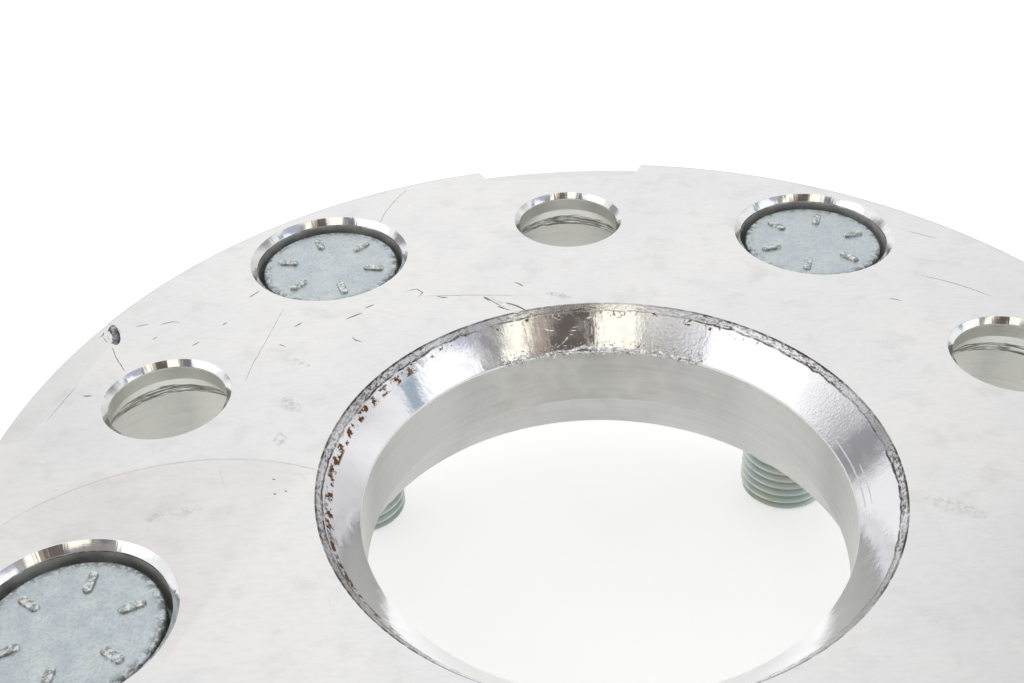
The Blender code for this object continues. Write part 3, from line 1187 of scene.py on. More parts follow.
@dataclass(frozen=True)
class TurnedFinish:
    """Bare turned wall, matt or polished, with tool lines, chatter and a little dirt."""

    name: str
    tone: Colour = (222.0, 222.0, 221.0)
    roughness: float = 0.4
    line_pitch: float = 0.25
    line_depth: float = 0.004
    dirt: float = 0.1
    dirt_tone: Colour = (120.0, 116.0, 110.0)
    dirt_size: float = 1.2
    centre: Centre = Centre.AXIS
    chatter: float = 0.0
    dirty_heights: Optional[Tuple[float, float]] = None
    grain: float = 0.0

    def material(self) -> Material:
        """Build the material."""
        surface = Surface(self.name, 1.0, self.roughness)
        surface.shader.inputs["Anisotropic"].default_value = self.grain
        surface.shader.inputs["Anisotropic Rotation"].default_value = 0.25
        place = surface.position
        height = surface.split(place)[2]
        around = self.around(surface)
        slope = surface.plus(around["Radius"], height)
        values = {"Distance": slope, "Angle": around["Angle"], "Pitch": self.line_pitch, "Drift": 1.5}
        lines = surface.use(Group.TURNING, values)["Height"]
        cloud = surface.noise(place, 0.25, 4.0, 0.6)
        tint = surface.mixed(
            surface.ramp(cloud, 0.35, 0.68),
            linear(*[part - 7 for part in self.tone]),
            linear(*[part + 4 for part in self.tone]),
        )
        tint = surface.multiplied(surface.ramp(lines, 0.45, 0.75, 0.0, 0.22), tint, linear(205, 204, 204))
        dirt = surface.times(surface.patches(self.dirt_size, self.dirt, 0.1), 0.6)
        if self.dirty_heights:
            dirt = surface.larger(dirt, self.dirty_ring(surface, height))
        tint = surface.mixed(dirt, tint, linear(*self.dirt_tone))
        surface.colour(tint)
        low, high = self.roughness * 0.85, self.roughness * 1.15
        plain = surface.ramp(cloud, 0.35, 0.65, low, high)
        surface.roughness(surface.between(dirt, plain, min(0.75, self.roughness + 0.3)))
        surface.bump(lines, self.line_depth)
        if self.chatter:
            facets = surface.noise(surface.around(self.chatter, around["Angle"], 0.0), 1.0, 2.0, 0.5)
            surface.bump(facets, 0.03)
        return surface.material

    def around(self, surface: Surface) -> bpy.types.NodeOutputs:
        """Return the angle and the distance round the axis, or round the nearest hole."""
        if self.centre is Centre.AXIS:
            return surface.use(Group.POLAR, {"Position": surface.position})
        return surface.hole_space(self.centre)

    def dirty_ring(self, surface: Surface, height: Value) -> Socket:
        """Draw a grainy line of dirt between the two dirty heights.

        Args:
            surface: The material's surface.
            height: The height of each spot, in millimetres.

        Returns:
            The line's mask.
        """
        low, high = self.dirty_heights
        place = surface.position
        sway = surface.minus(surface.noise(place, 0.35, 2.0), 0.5)
        sway = surface.plus(height, surface.times(sway, 1.6))
        band = surface.band(sway, low, high, 0.35)
        values = {"Position": place, "Across": height, "Length": 2.4, "Width": 0.3}
        rows = surface.ramp(surface.use(Group.STREAKS, values)["Value"], 0.38, 0.56)
        return surface.times(surface.times(band, rows), 0.8)


@dataclass(frozen=True)
class BoreChamferFinish:
    """Bright lead-in chamfer with a dirty worn band under its mouth and brown clumps below that."""

    name: str = "bore_chamfer_bright"
    mouth: float = 33.2
    ripples: float = 46.0

    def rust(self, surface: Surface, down: Value) -> Socket:
        """Draw brown clumps: a chain at the left, loose ones above it and stray specks.

        Args:
            surface: The material's surface.
            down: The way down the slope from the mouth, in millimetres.

        Returns:
            The mask of all clumps.
        """
        chain = surface.times(surface.sector(203.0, 15.0, 9.0), surface.patches(0.7, 0.62, 0.1))
        chain = surface.times(chain, surface.band(down, 1.35, 1.75, 0.2))
        loose = surface.times(surface.sector(164.0, 26.0, 8.0), surface.patches(1.5, 0.5, 0.04))
        loose = surface.times(loose, surface.band(down, 1.5, 2.3, 0.3))
        upper = surface.times(surface.sector(96.0, 44.0, 10.0), surface.patches(0.8, 0.38, 0.06))
        upper = surface.times(upper, surface.band(down, 1.1, 1.8, 0.3))
        stray = surface.times(surface.patches(0.6, 0.1, 0.05), 0.8)
        return surface.larger(surface.larger(chain, loose), surface.larger(upper, stray))

    def material(self) -> Material:
        """Build the material."""
        surface = Surface(self.name, 1.0, 0.12)
        place = surface.position
        polar = surface.use(Group.POLAR, {"Position": place})
        down = surface.times(surface.minus(self.mouth, polar["Radius"]), math.sqrt(2.0))
        turning = {"Distance": down, "Angle": polar["Angle"], "Pitch": 0.16, "Drift": 1.0}
        lines = surface.use(Group.TURNING, turning)["Height"]
        tint = surface.mixed(surface.noise(place, 0.3, 3.0), linear(230, 230, 233), linear(244, 244, 247))
        sway = surface.times(surface.minus(surface.noise(place, 0.4, 2.0), 0.5), 0.8)
        grit = surface.times(surface.minus(surface.noise(place, 2.4, 3.0, 0.7), 0.5), 0.7)
        swayed = surface.plus(down, sway)
        frayed = surface.plus(swayed, grit)
        left, right = surface.sector(170.0, 50.0, 24.0), surface.sector(12.0, 42.0, 22.0)
        patchy = surface.ramp(surface.noise(place, 0.16, 2.0), 0.36, 0.6, 0.55, 1.0)
        heavy = surface.between(surface.larger(left, right), 0.55, 1.0)
        heavy = surface.times(heavy, patchy)
        values = {"Position": place, "Across": down, "Length": 0.55, "Width": 0.28}
        streak = surface.use(Group.STREAKS, values)["Value"]
        dark = surface.ramp(streak, 0.4, 0.66)
        sided = surface.between(surface.larger(left, right), 0.25, 0.0)
        worn = surface.times(surface.band(surface.plus(frayed, sided), -1.5, 0.95, 0.2), heavy)
        worn = surface.times(worn, surface.between(dark, 0.22, 0.95))
        tint = surface.mixed(worn, tint, surface.mixed(dark, linear(132, 128, 123), linear(82, 78, 73)))
        lower_line = surface.band(swayed, 0.98, 1.08, 0.14)
        upper_line = surface.band(surface.plus(down, surface.times(grit, 0.5)), -1.5, 0.1, 0.16)
        edges = surface.larger(lower_line, upper_line)
        broken = surface.ramp(surface.noise(place, 0.9, 4.0, 0.7), 0.36, 0.52, 0.2, 0.95)
        edges = surface.times(surface.times(edges, broken), heavy)
        tint = surface.mixed(edges, tint, linear(72, 66, 60))
        yellow = surface.times(surface.sector(98.0, 18.0, 12.0), surface.band(down, 0.6, 1.6, 0.4))
        yellow = surface.times(yellow, surface.patches(1.1, 0.4, 0.1))
        tint = surface.multiplied(surface.times(yellow, 0.8), tint, linear(196, 172, 118))
        rust = self.rust(surface, down)
        tint = surface.mixed(
            rust, tint, surface.mixed(surface.noise(place, 1.5), linear(146, 100, 56), linear(66, 52, 40))
        )
        arcs = surface.larger(
            surface.times(surface.band(down, 5.5, 5.6, 0.08), surface.sector(2.0, 10.0, 3.0)),
            surface.times(surface.band(down, 4.6, 4.68, 0.07), surface.sector(-3.0, 5.0, 2.0)),
        )
        surface.colour(tint)
        soil = surface.larger(surface.larger(worn, edges), rust)
        smear = surface.ramp(surface.noise(place, 0.5, 4.0, 0.6), 0.4, 0.7, 0.07, 0.18)
        surface.roughness(surface.between(surface.larger(soil, arcs), smear, 0.5))
        height = surface.minus(surface.times(lines, 0.3), surface.times(soil, 0.6))
        surface.bump(height, 0.02, 0.7)
        rippled = surface.around(self.ripples, polar["Angle"], surface.times(down, 0.2))
        ripple = surface.noise(rippled, 1.0, 2.0, 0.5)
        surface.bump(ripple, 0.007)
        surface.bump(surface.noise(place, 0.7, 3.0, 0.6), 0.018)
        mottled = surface.larger(surface.sector(67.0, 5.0, 7.0), surface.sector(20.0, 5.0, 9.0))
        mottled = surface.times(mottled, surface.noise(place, 2.6, 4.0, 0.7))
        surface.bump(mottled, 0.045)
        return surface.material


@dataclass(frozen=True)
class ZincHeadFinish:
    """Zinc-plated stud head: pale blue-grey, speckled, and scuffed dark at its rim."""

    name: str = "zinc_stud_head"
    rim_radius: float = 9.7
    pale: Colour = (214.0, 222.0, 224.0)
    shaded: Colour = (196.0, 206.0, 211.0)

    def material(self) -> Material:
        """Build the material."""
        surface = Surface(self.name, 1.0, 0.4)
        place = surface.position
        hole = surface.hole_space(Centre.STUD_HOLE)
        cloud = surface.noise(place, 0.35, 4.0, 0.6)
        tint = surface.mixed(surface.ramp(cloud, 0.32, 0.68), linear(*self.shaded), linear(*self.pale))
        speckle = surface.noise(place, 3.2, 3.0, 0.7)
        tint = surface.multiplied(surface.ramp(speckle, 0.42, 0.68, 0.0, 0.4), tint, linear(196, 198, 198))
        spots = surface.patches(2.2, 0.34, 0.2)
        tint = surface.mixed(surface.times(spots, 0.4), tint, linear(166, 174, 177))
        rim = surface.ramp(hole["Radius"], self.rim_radius - 1.9, self.rim_radius - 0.1)
        flake = surface.patches(0.7, 0.6, 0.12)
        scuff = surface.times(surface.times(rim, rim), flake)
        tint = surface.mixed(surface.times(scuff, 0.85), tint, linear(112, 112, 108))
        pits = surface.patches(0.5, 0.2, 0.08)
        tint = surface.mixed(surface.times(pits, 0.5), tint, linear(120, 118, 112))
        surface.colour(tint)
        plain = surface.ramp(cloud, 0.3, 0.7, 0.34, 0.46)
        surface.roughness(surface.between(scuff, plain, 0.6))
        surface.bump(surface.minus(speckle, surface.times(pits, 0.6)), 0.05, 0.6)
        return surface.material


@dataclass(frozen=True)
class ScuffedMarkFinish:
    """Raised marks on a stud head, rubbed through to bright and dark steel."""

    name: str = "scuffed_head_marks"

    def material(self) -> Material:
        """Build the material."""
        surface = Surface(self.name, 1.0, 0.3)
        place = surface.position
        rubbed = surface.noise(place, 1.7, 4.0, 0.7)
        tint = surface.mixed(surface.ramp(rubbed, 0.4, 0.62), linear(156, 158, 156), linear(232, 236, 236))
        surface.colour(tint)
        surface.roughness(surface.ramp(rubbed, 0.35, 0.65, 0.5, 0.25))
        surface.bump(rubbed, 0.03, 0.6)
        return surface.material


@dataclass(frozen=True)
class ZincThreadFinish:
    """Zinc-plated thread: grey-green with a faint yellow bloom, with painted shade down in the roots."""

    name: str = "zinc_stud_thread"
    root: float = 6.1
    crest: float = 7.0

    def material(self) -> Material:
        """Build the material."""
        surface = Surface(self.name, 1.0, 0.35)
        place = surface.position
        hole = surface.hole_space(Centre.STUD_HOLE)
        bloom = surface.ramp(surface.noise(place, 0.22, 2.0), 0.42, 0.66)
        tint = surface.mixed(bloom, linear(204, 213, 211), linear(210, 213, 202))
        # Painted shade: the colour darkens towards the thread's roots.
        deep = surface.ramp(hole["Radius"], self.root, self.crest - 0.1, 1.0, 0.0)
        tint = surface.mixed(surface.times(deep, 0.5), tint, linear(158, 166, 163))
        worn = surface.patches(0.8, 0.3, 0.1)
        tint = surface.mixed(surface.times(worn, 0.4), tint, linear(140, 141, 136))
        surface.colour(tint)
        surface.roughness(surface.between(worn, 0.3, 0.5))
        surface.bump(surface.noise(place, 2.0, 4.0, 0.6), 0.03, 0.6)
        return surface.material


@dataclass(frozen=True)
class TornFinish:
    """Fresh torn aluminium on burrs and in gouges: bright, with dark folds; its darker copies are painted
    shade.
    """

    name: str = "torn_aluminium"
    folded: Colour = (176.0, 174.0, 172.0)
    fresh: Colour = (246.0, 246.0, 246.0)
    depth: float = 0.08

    def material(self) -> Material:
        """Build the material."""
        surface = Surface(self.name, 1.0, 0.3)
        place = surface.position
        folds = surface.noise(place, 1.8, 5.0, 0.7)
        surface.colour(
            surface.mixed(surface.ramp(folds, 0.42, 0.6), linear(*self.folded), linear(*self.fresh))
        )
        surface.roughness(surface.ramp(folds, 0.3, 0.7, 0.45, 0.22))
        surface.bump(folds, self.depth, 0.8)
        return surface.material


@dataclass
class Disc:
    """The machined disc: turned blank, five clearance holes, five stud holes and rim recesses."""

    radius: float = 72.9
    rim_break: float = 0.5
    bore_radius: float = 28.6
    bore_chamfer: float = 4.6
    relief_radius: float = 32.0
    relief_top: float = 36.5
    bolt_circle: float = BOLT_CIRCLE
    bolt_first_angle: float = BOLT_START
    bolt_radius: float = 7.3
    bolt_chamfer: float = 0.74
    throat_end: float = 46.9
    seat_end: float = 43.0
    seat_radius: float = 9.552
    pocket_radius: float = 12.5
    stud_circle: float = STUD_CIRCLE
    stud_first_angle: float = STUD_START
    head_bore_radius: float = 10.5
    head_bore_chamfer: float = 0.87
    head_seat: float = 43.2
    stud_hole_radius: float = 7.9
    recess_inner: float = 68.7
    recess_half_width: float = 11.6
    recess_depths: Tuple[float, ...] = (1.2, 0.12, 1.2, 1.2, 1.2)
    dent_middle: Point = (-62.8, 31.5)
    dent_reach: Tuple[float, float, float] = (2.5, 0.85, 1.0)
    dent_turn: float = math.radians(108.0)
    torn_first: float = 58.0
    torn_last: float = 114.0
    burr_count: int = 900
    burr_spread: float = 0.8
    segments: int = 480
    hole_segments: int = 144
    finishes: Dict[str, Material] = field(default_factory=dict)

    def dress(self) -> None:
        """Make the finish of each surface."""
        mirror, film = (242.0, 242.0, 243.0), (150.0, 146.0, 140.0)
        groove_dirt_and_shade, pale_dirt = (96.0, 90.0, 84.0), (186.0, 183.0, 180.0)
        bore_dirt, seat_dirt = (110.0, 106.0, 100.0), (82.0, 76.0, 66.0)
        plain = [
            TurnedFinish("bore_wall", (222.0, 222.0, 219.0), 0.42, 0.5, 0.004, 0.12, film, 2.4, grain=0.9),
            TurnedFinish("relief_wall", (226.0, 226.0, 224.0), 0.4, 0.4, 0.004, 0.08, film, 2.4, grain=0.9),
            TurnedFinish("rim_wall", (222.0, 222.0, 222.0), 0.3, 0.3, 0.006, 0.12),
            # Dark grey groove walls: darker scratches on the face, and painted shade in the creases beside
            # the gouge.
            TurnedFinish("scratch_wall", (150.0, 148.0, 145.0), 0.35, 0.3, 0.006, 0.4, groove_dirt_and_shade, 0.8),
            TurnedFinish("witness_wall", (224.0, 223.0, 222.0), 0.4, 0.3, 0.006, 0.2, pale_dirt, 0.8),
        ]
        bolt, stud = {"centre": Centre.BOLT_HOLE}, {"centre": Centre.STUD_HOLE}
        plain += [
            TurnedFinish("bolt_chamfer", mirror, 0.1, 0.15, 0.003, 0.14, chatter=9.0, **bolt),
            TurnedFinish("stud_hole_chamfer", mirror, 0.1, 0.15, 0.003, 0.14, chatter=14.0, **stud),
            TurnedFinish("head_bore_wall", (224.0, 223.0, 220.0), 0.6, 0.3, 0.006, 0.25, bore_dirt, **stud),
            TurnedFinish("bolt_throat", (220.0, 220.0, 215.0), 0.36, 0.3, 0.006, 0.2, **bolt),
            TurnedFinish(
                "bolt_seat", (224.0, 224.0, 221.0), 0.36, 0.3, 0.006, 0.25, seat_dirt, 0.9,
                dirty_heights=(43.1, 45.1), **bolt,
            ),
            TurnedFinish("bolt_pocket", (213.0, 213.0, 208.0), 0.4, 0.5, 0.004, 0.1, **bolt),
        ]
        others = (
            BoreChamferFinish(),
            TornFinish(),
            TornFinish("fresh_cut", (226.0, 226.0, 227.0), (254.0, 254.0, 254.0), 0.03),
            # Dark grey-lavender on the dent's walls is painted shade inside the crater.
            TornFinish("dent_wall", (126.0, 122.0, 130.0), (182.0, 180.0, 185.0), 0.04),
            # Dark grey on the curled burr is painted shade.
            TornFinish("curled_sliver", (84.0, 82.0, 82.0), (170.0, 168.0, 166.0)),
            FaceFinish("machined_rim_recess", tone=238.0, stain=0.4),
            FaceFinish("machined_hub_face", smudges=FACE_SMUDGES, marks=WITNESS_MARKS),
            FaceFinish("machined_wheel_face", tone=230.0, stain=0.45),
        )
        for finish in (*plain, *others):
            self.finishes[finish.name] = finish.material()

    def stretch(self, finish: str, points: Sequence[Point], radii: Dict[int, float]) -> Section:
        """Return a stretch in a named finish, with the corners rounded that have a radius."""
        return Section(tuple(rounded(points, radii)), self.finishes[finish])

    def blank(self) -> Mesh:
        """Turn the blank with its bore."""
        top, bottom, edge = HUB_FACE, WHEEL_FACE, self.rim_break
        bore, chamfer, relief = self.bore_radius, self.bore_chamfer, self.relief_radius
        rim = [
            (self.radius - 0.3, top),
            (self.radius, top),
            (self.radius, bottom + edge),
            (self.radius - edge, bottom),
            (self.radius - edge - 0.1, bottom),
        ]
        under = [(self.radius - edge - 0.1, bottom), (relief + edge + 0.1, bottom)]
        relief_wall = [
            (relief + edge + 0.1, bottom),
            (relief + edge, bottom),
            (relief, bottom + edge),
            (relief, self.relief_top),
            (bore, self.relief_top),
            (bore, self.relief_top + 0.3),
        ]
        wall = [(bore, self.relief_top + 0.3), (bore, top - chamfer - 0.3)]
        mouth = [
            (bore, top - chamfer - 0.3),
            (bore, top - chamfer),
            (bore + chamfer, top),
            (bore + chamfer + 0.1, top),
        ]
        face = [(bore + chamfer + 0.1, top), (self.radius - 0.3, top)]
        sections = [
            self.stretch("rim_wall", rim, {1: 0.12, 2: 0.15, 3: 0.15}),
            self.stretch("machined_wheel_face", under, {}),
            self.stretch("relief_wall", relief_wall, {1: 0.1, 2: 0.15, 3: 0.6, 4: 0.15}),
            self.stretch("bore_wall", wall, {}),
            self.stretch("bore_chamfer_bright", mouth, {1: 0.12, 2: 0.12}),
            self.stretch("machined_hub_face", face, {}),
        ]
        return turned("adaptor_blank", sections, Spread(self.segments))

    def hole_mouth(self, radius: float, chamfer: float, finish: str) -> Section:
        """Return the top of a hole's cutter, with the hole's chamfer.

        Args:
            radius: The hole's radius under the chamfer.
            chamfer: The chamfer's width.
            finish: Name of the chamfer's finish.

        Returns:
            The stretch, which ends a little below the chamfer.
        """
        top, mouth = HUB_FACE, radius + chamfer
        points = [
            (0.0, top + CUT_CLEARANCE),
            (mouth + 0.5, top + CUT_CLEARANCE),
            (mouth + 0.5, top + 0.02),
            (mouth, top),
            (radius, top - chamfer),
            (radius, top - chamfer - 0.2),
        ]
        return self.stretch(finish, points, {3: 0.1, 4: 0.1})

    def bolt_holes(self) -> Mesh:
        """Turn the cutter for the clearance holes and repeat it round the hub's bolt circle."""
        top, bottom = HUB_FACE, WHEEL_FACE
        throat = [
            (self.bolt_radius, top - self.bolt_chamfer - 0.2), (self.bolt_radius, self.throat_end + 0.2)
        ]
        seat = [
            (self.bolt_radius, self.throat_end + 0.2),
            (self.bolt_radius, self.throat_end),
            (self.seat_radius, self.seat_end),
            (self.seat_radius + 0.1, self.seat_end),
        ]
        pocket = [
            (self.seat_radius + 0.1, self.seat_end),
            (self.pocket_radius, self.seat_end),
            (self.pocket_radius, bottom + 0.3),
            (self.pocket_radius + CUT_CLEARANCE, bottom - CUT_FLARE),
            (0.0, bottom - CUT_FLARE),
        ]
        sections = [
            self.hole_mouth(self.bolt_radius, self.bolt_chamfer, "bolt_chamfer"),
            self.stretch("bolt_throat", throat, {}),
            self.stretch("bolt_seat", seat, {1: 0.12}),
            self.stretch("bolt_pocket", pocket, {1: 0.5}),
        ]
        spread = Spread(self.hole_segments, HOLE_COUNT, self.bolt_circle, self.bolt_first_angle)
        return turned("bolt_hole_cutters", sections, spread)

    def stud_holes(self) -> Mesh:
        """Turn the cutter for the stud holes and repeat it round the wheel's bolt circle."""
        top, bottom = HUB_FACE, WHEEL_FACE
        wall = [
            (self.head_bore_radius, top - self.head_bore_chamfer - 0.2),
            (self.head_bore_radius, self.head_seat),
            (self.stud_hole_radius, self.head_seat),
            (self.stud_hole_radius, bottom + 0.3),
            (self.stud_hole_radius + CUT_CLEARANCE, bottom - CUT_FLARE),
            (0.0, bottom - CUT_FLARE),
        ]
        sections = [
            self.hole_mouth(self.head_bore_radius, self.head_bore_chamfer, "stud_hole_chamfer"),
            self.stretch("head_bore_wall", wall, {1: 0.3}),
        ]
        spread = Spread(self.hole_segments, HOLE_COUNT, self.stud_circle, self.stud_first_angle)
        return turned("stud_hole_cutters", sections, spread)

    def recesses(self) -> Mesh:
        """Make the cutters for the shallow recesses in the rim, whose end walls slant outwards."""
        plan = [
            (self.recess_inner, -self.recess_half_width + 0.5),
            (self.recess_inner + 0.3, -self.recess_half_width),
            (self.radius + CUT_CLEARANCE, -self.recess_half_width - 3.0),
            (self.radius + CUT_CLEARANCE, self.recess_half_width + 3.0),
            (self.recess_inner + 0.3, self.recess_half_width),
            (self.recess_inner, self.recess_half_width - 0.5),
        ]
        work = bmesh.new()
        for number, depth in enumerate(self.recess_depths):
            turn = Matrix.Rotation(self.bolt_first_angle + number * FULL_TURN / HOLE_COUNT, 3, "Z")
            rings = []
            for height in (HUB_FACE - depth, HUB_FACE + CUT_CLEARANCE):
                rings.append([work.verts.new(turn @ Vector((x * MM, y * MM, height * MM))) for x, y in plan])
            work.faces.new(list(reversed(rings[0])))
            work.faces.new(rings[1])
            for index in range(len(plan)):
                after = (index + 1) % len(plan)
                work.faces.new((rings[0][index], rings[0][after], rings[1][after], rings[1][index]))
        bmesh.ops.recalc_face_normals(work, faces=work.faces)
        return closed_mesh("recess_cutters", work, self.finishes["machined_rim_recess"])

    def swept(self, grooves: Sequence[Groove], finish: str, depth: float = 0.5, rough: float = 0.5) -> Mesh:
        """Sweep a diamond along paths, as a cutter for scratches or as raised burrs.

        Args:
            grooves: The paths with their widths.
            finish: Name of the finish.
            depth: Half the height of the diamond as a share of its half width.
            rough: How uneven the width is along a path.

        Returns:
            The closed mesh.
        """
        places: List[Tuple[float, float, float]] = []
        edges: List[Tuple[int, int]] = []
        numbers: Dict[str, List[float]] = {"half_width": [], "taper": [], "wobble": []}
        for groove in grooves:
            first = len(places)
            path = [Vector((*point, HUB_FACE)[:3] if len(point) == 2 else point) for point in groove.path]
            for start, end in zip(path, path[1:]):
                steps = max(2, math.ceil((end - start).length / GROOVE_STEP))
                for step in range(steps + (1 if end is path[-1] else 0)):
                    places.append(tuple(start.lerp(end, step / steps) * MM))
                    numbers["half_width"].append(groove.half_width)
                    numbers["taper"].append(groove.taper)
                    numbers["wobble"].append(groove.wobble)
            edges += [(index, index + 1) for index in range(first, len(places) - 1)]
        mesh = bpy.data.meshes.new("swept_paths")
        mesh.from_pydata(places, edges, [])
        for name, values in numbers.items():
            mesh.attributes.new(name, "FLOAT", "POINT").data.foreach_set("value", values)
        values = {"Depth Share": depth, "Rough Share": rough, "Seed": 3.0, "Finish": self.finishes[finish]}
        return grown(bpy.data.node_groups["groove_cutter"], mesh, values)

    def dent(self) -> Mesh:
        """Make the cutter for the dent in the rim: a chipped lump with steep walls."""
        work = bmesh.new()
        bmesh.ops.create_icosphere(work, subdivisions=3, radius=1.0)
        for vert in work.verts:
            way = vert.co.normalized()
            swell = 1.0 + 0.16 * noise.noise(way * 2.1 + Vector((4.0, 1.0, 7.0)))
            x, y, z = way * swell
            vert.co = Vector((x * self.dent_reach[0], y * self.dent_reach[1], z * self.dent_reach[2]))
        turn = Matrix.Rotation(self.dent_turn, 4, "Z")
        place = Matrix.Translation(Vector((*self.dent_middle, HUB_FACE + 0.15)))
        bmesh.ops.transform(work, matrix=Matrix.Scale(MM, 4) @ place @ turn, verts=work.verts)
        # The dent's walls take a dark finish that is painted shade.
        return closed_mesh("dent_cutter", work, self.finishes["dent_wall"])

    def burrs(self) -> Mesh:
        """Scatter torn flakes along the lower edge of the bore chamfer."""
        flake = bpy.data.meshes.new("flake")
        places = [(-0.45, -0.09, 0.0), (0.48, -0.06, 0.07), (0.09, 0.18, 0.04), (0.03, 0.02, 0.2)]
        corners = [(0, 2, 1), (0, 1, 3), (1, 2, 3), (2, 0, 3)]
        flake.from_pydata([tuple(part * MM for part in place) for place in places], [], corners)
        values = {
            "Count": self.burr_count,
            "Edge Radius": (self.bore_radius + 0.1) * MM,
            "Edge Height": (HUB_FACE - self.bore_chamfer + 0.05) * MM,
            "Start": math.radians(self.torn_first),
            "Sweep": math.radians(self.torn_last - self.torn_first),
            "Spread": self.burr_spread * MM,
            "Seed": 7,
            "Finish": self.finishes["torn_aluminium"],
        }
        return grown(burr_tree(), flake, values)

    def torn_edge(self, out: float, up: float, half_width: float) -> Groove:
        """Return a ragged lip along the lower edge of the bore chamfer.

        Args:
            out: How far it lies outside the bore, in millimetres.
            up: How far it lies above the bore's edge.
            half_width: Half its width.

        Returns:
            The lip's path and width.
        """
        path = []
        for step in range(round(self.torn_last - self.torn_first) + 1):
            angle = math.radians(self.torn_last - step)
            sway = 0.3 * noise.noise(Vector((step * 0.31, 2.0 + out * 9.0, 5.0)))
            radius = self.bore_radius + out + sway
            height = HUB_FACE - self.bore_chamfer + up + sway
            path.append((radius * math.cos(angle), radius * math.sin(angle), height))
        return Groove(tuple(path), half_width, 0.35, 0.25)

    def torn_metal(self) -> List[Mesh]:
        """Make the raised metal beside the gouge, the dent and the torn edge."""
        return [
            self.burrs(),
            self.swept([self.torn_edge(0.15, 0.15, 0.36)], "torn_aluminium", 0.6, 0.9),
            self.swept(MOUTH_RIDGES + RIM_CHIP, "fresh_cut", 0.5, 0.6),
            self.swept(CHAMFER_SCRATCHES, "torn_aluminium", 0.5, 0.6),
            # The curl is swept in a dark finish that is painted shade.
            self.swept(RIM_CURL, "curled_sliver", 0.8, 0.5),
        ]

    def build(self) -> bpy.types.Object:
        """Cut the blank and put it in the scene as one piece.

        Returns:
            The disc's object.
        """
        self.dress()
        body = self.blank()
        groove_tree()
        for tool in (self.bolt_holes(), self.stud_holes(), self.recesses(), self.dent()):
            body = cut(body, tool)
        marks = [mark.groove() for mark in WITNESS_MARKS]
        scratches = [
            # The creases beside the gouge take the dark groove finish as painted shade.
            self.swept(FACE_GROOVES + MOUTH_CREASES, "scratch_wall"),
            self.swept(marks, "witness_wall"),
            self.swept(MOUTH_GOUGES, "fresh_cut", 0.3),
        ]
        body = cut(body, joined("scratch_cutters", scratches, 0.0), overlaps=True)
        body = joined("disc", [body] + self.torn_metal())
        crease(body, 24.0)
        disc = linked("dressed_disc", body)
        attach(disc, "root")
        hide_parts("adaptor_disc")
        return disc


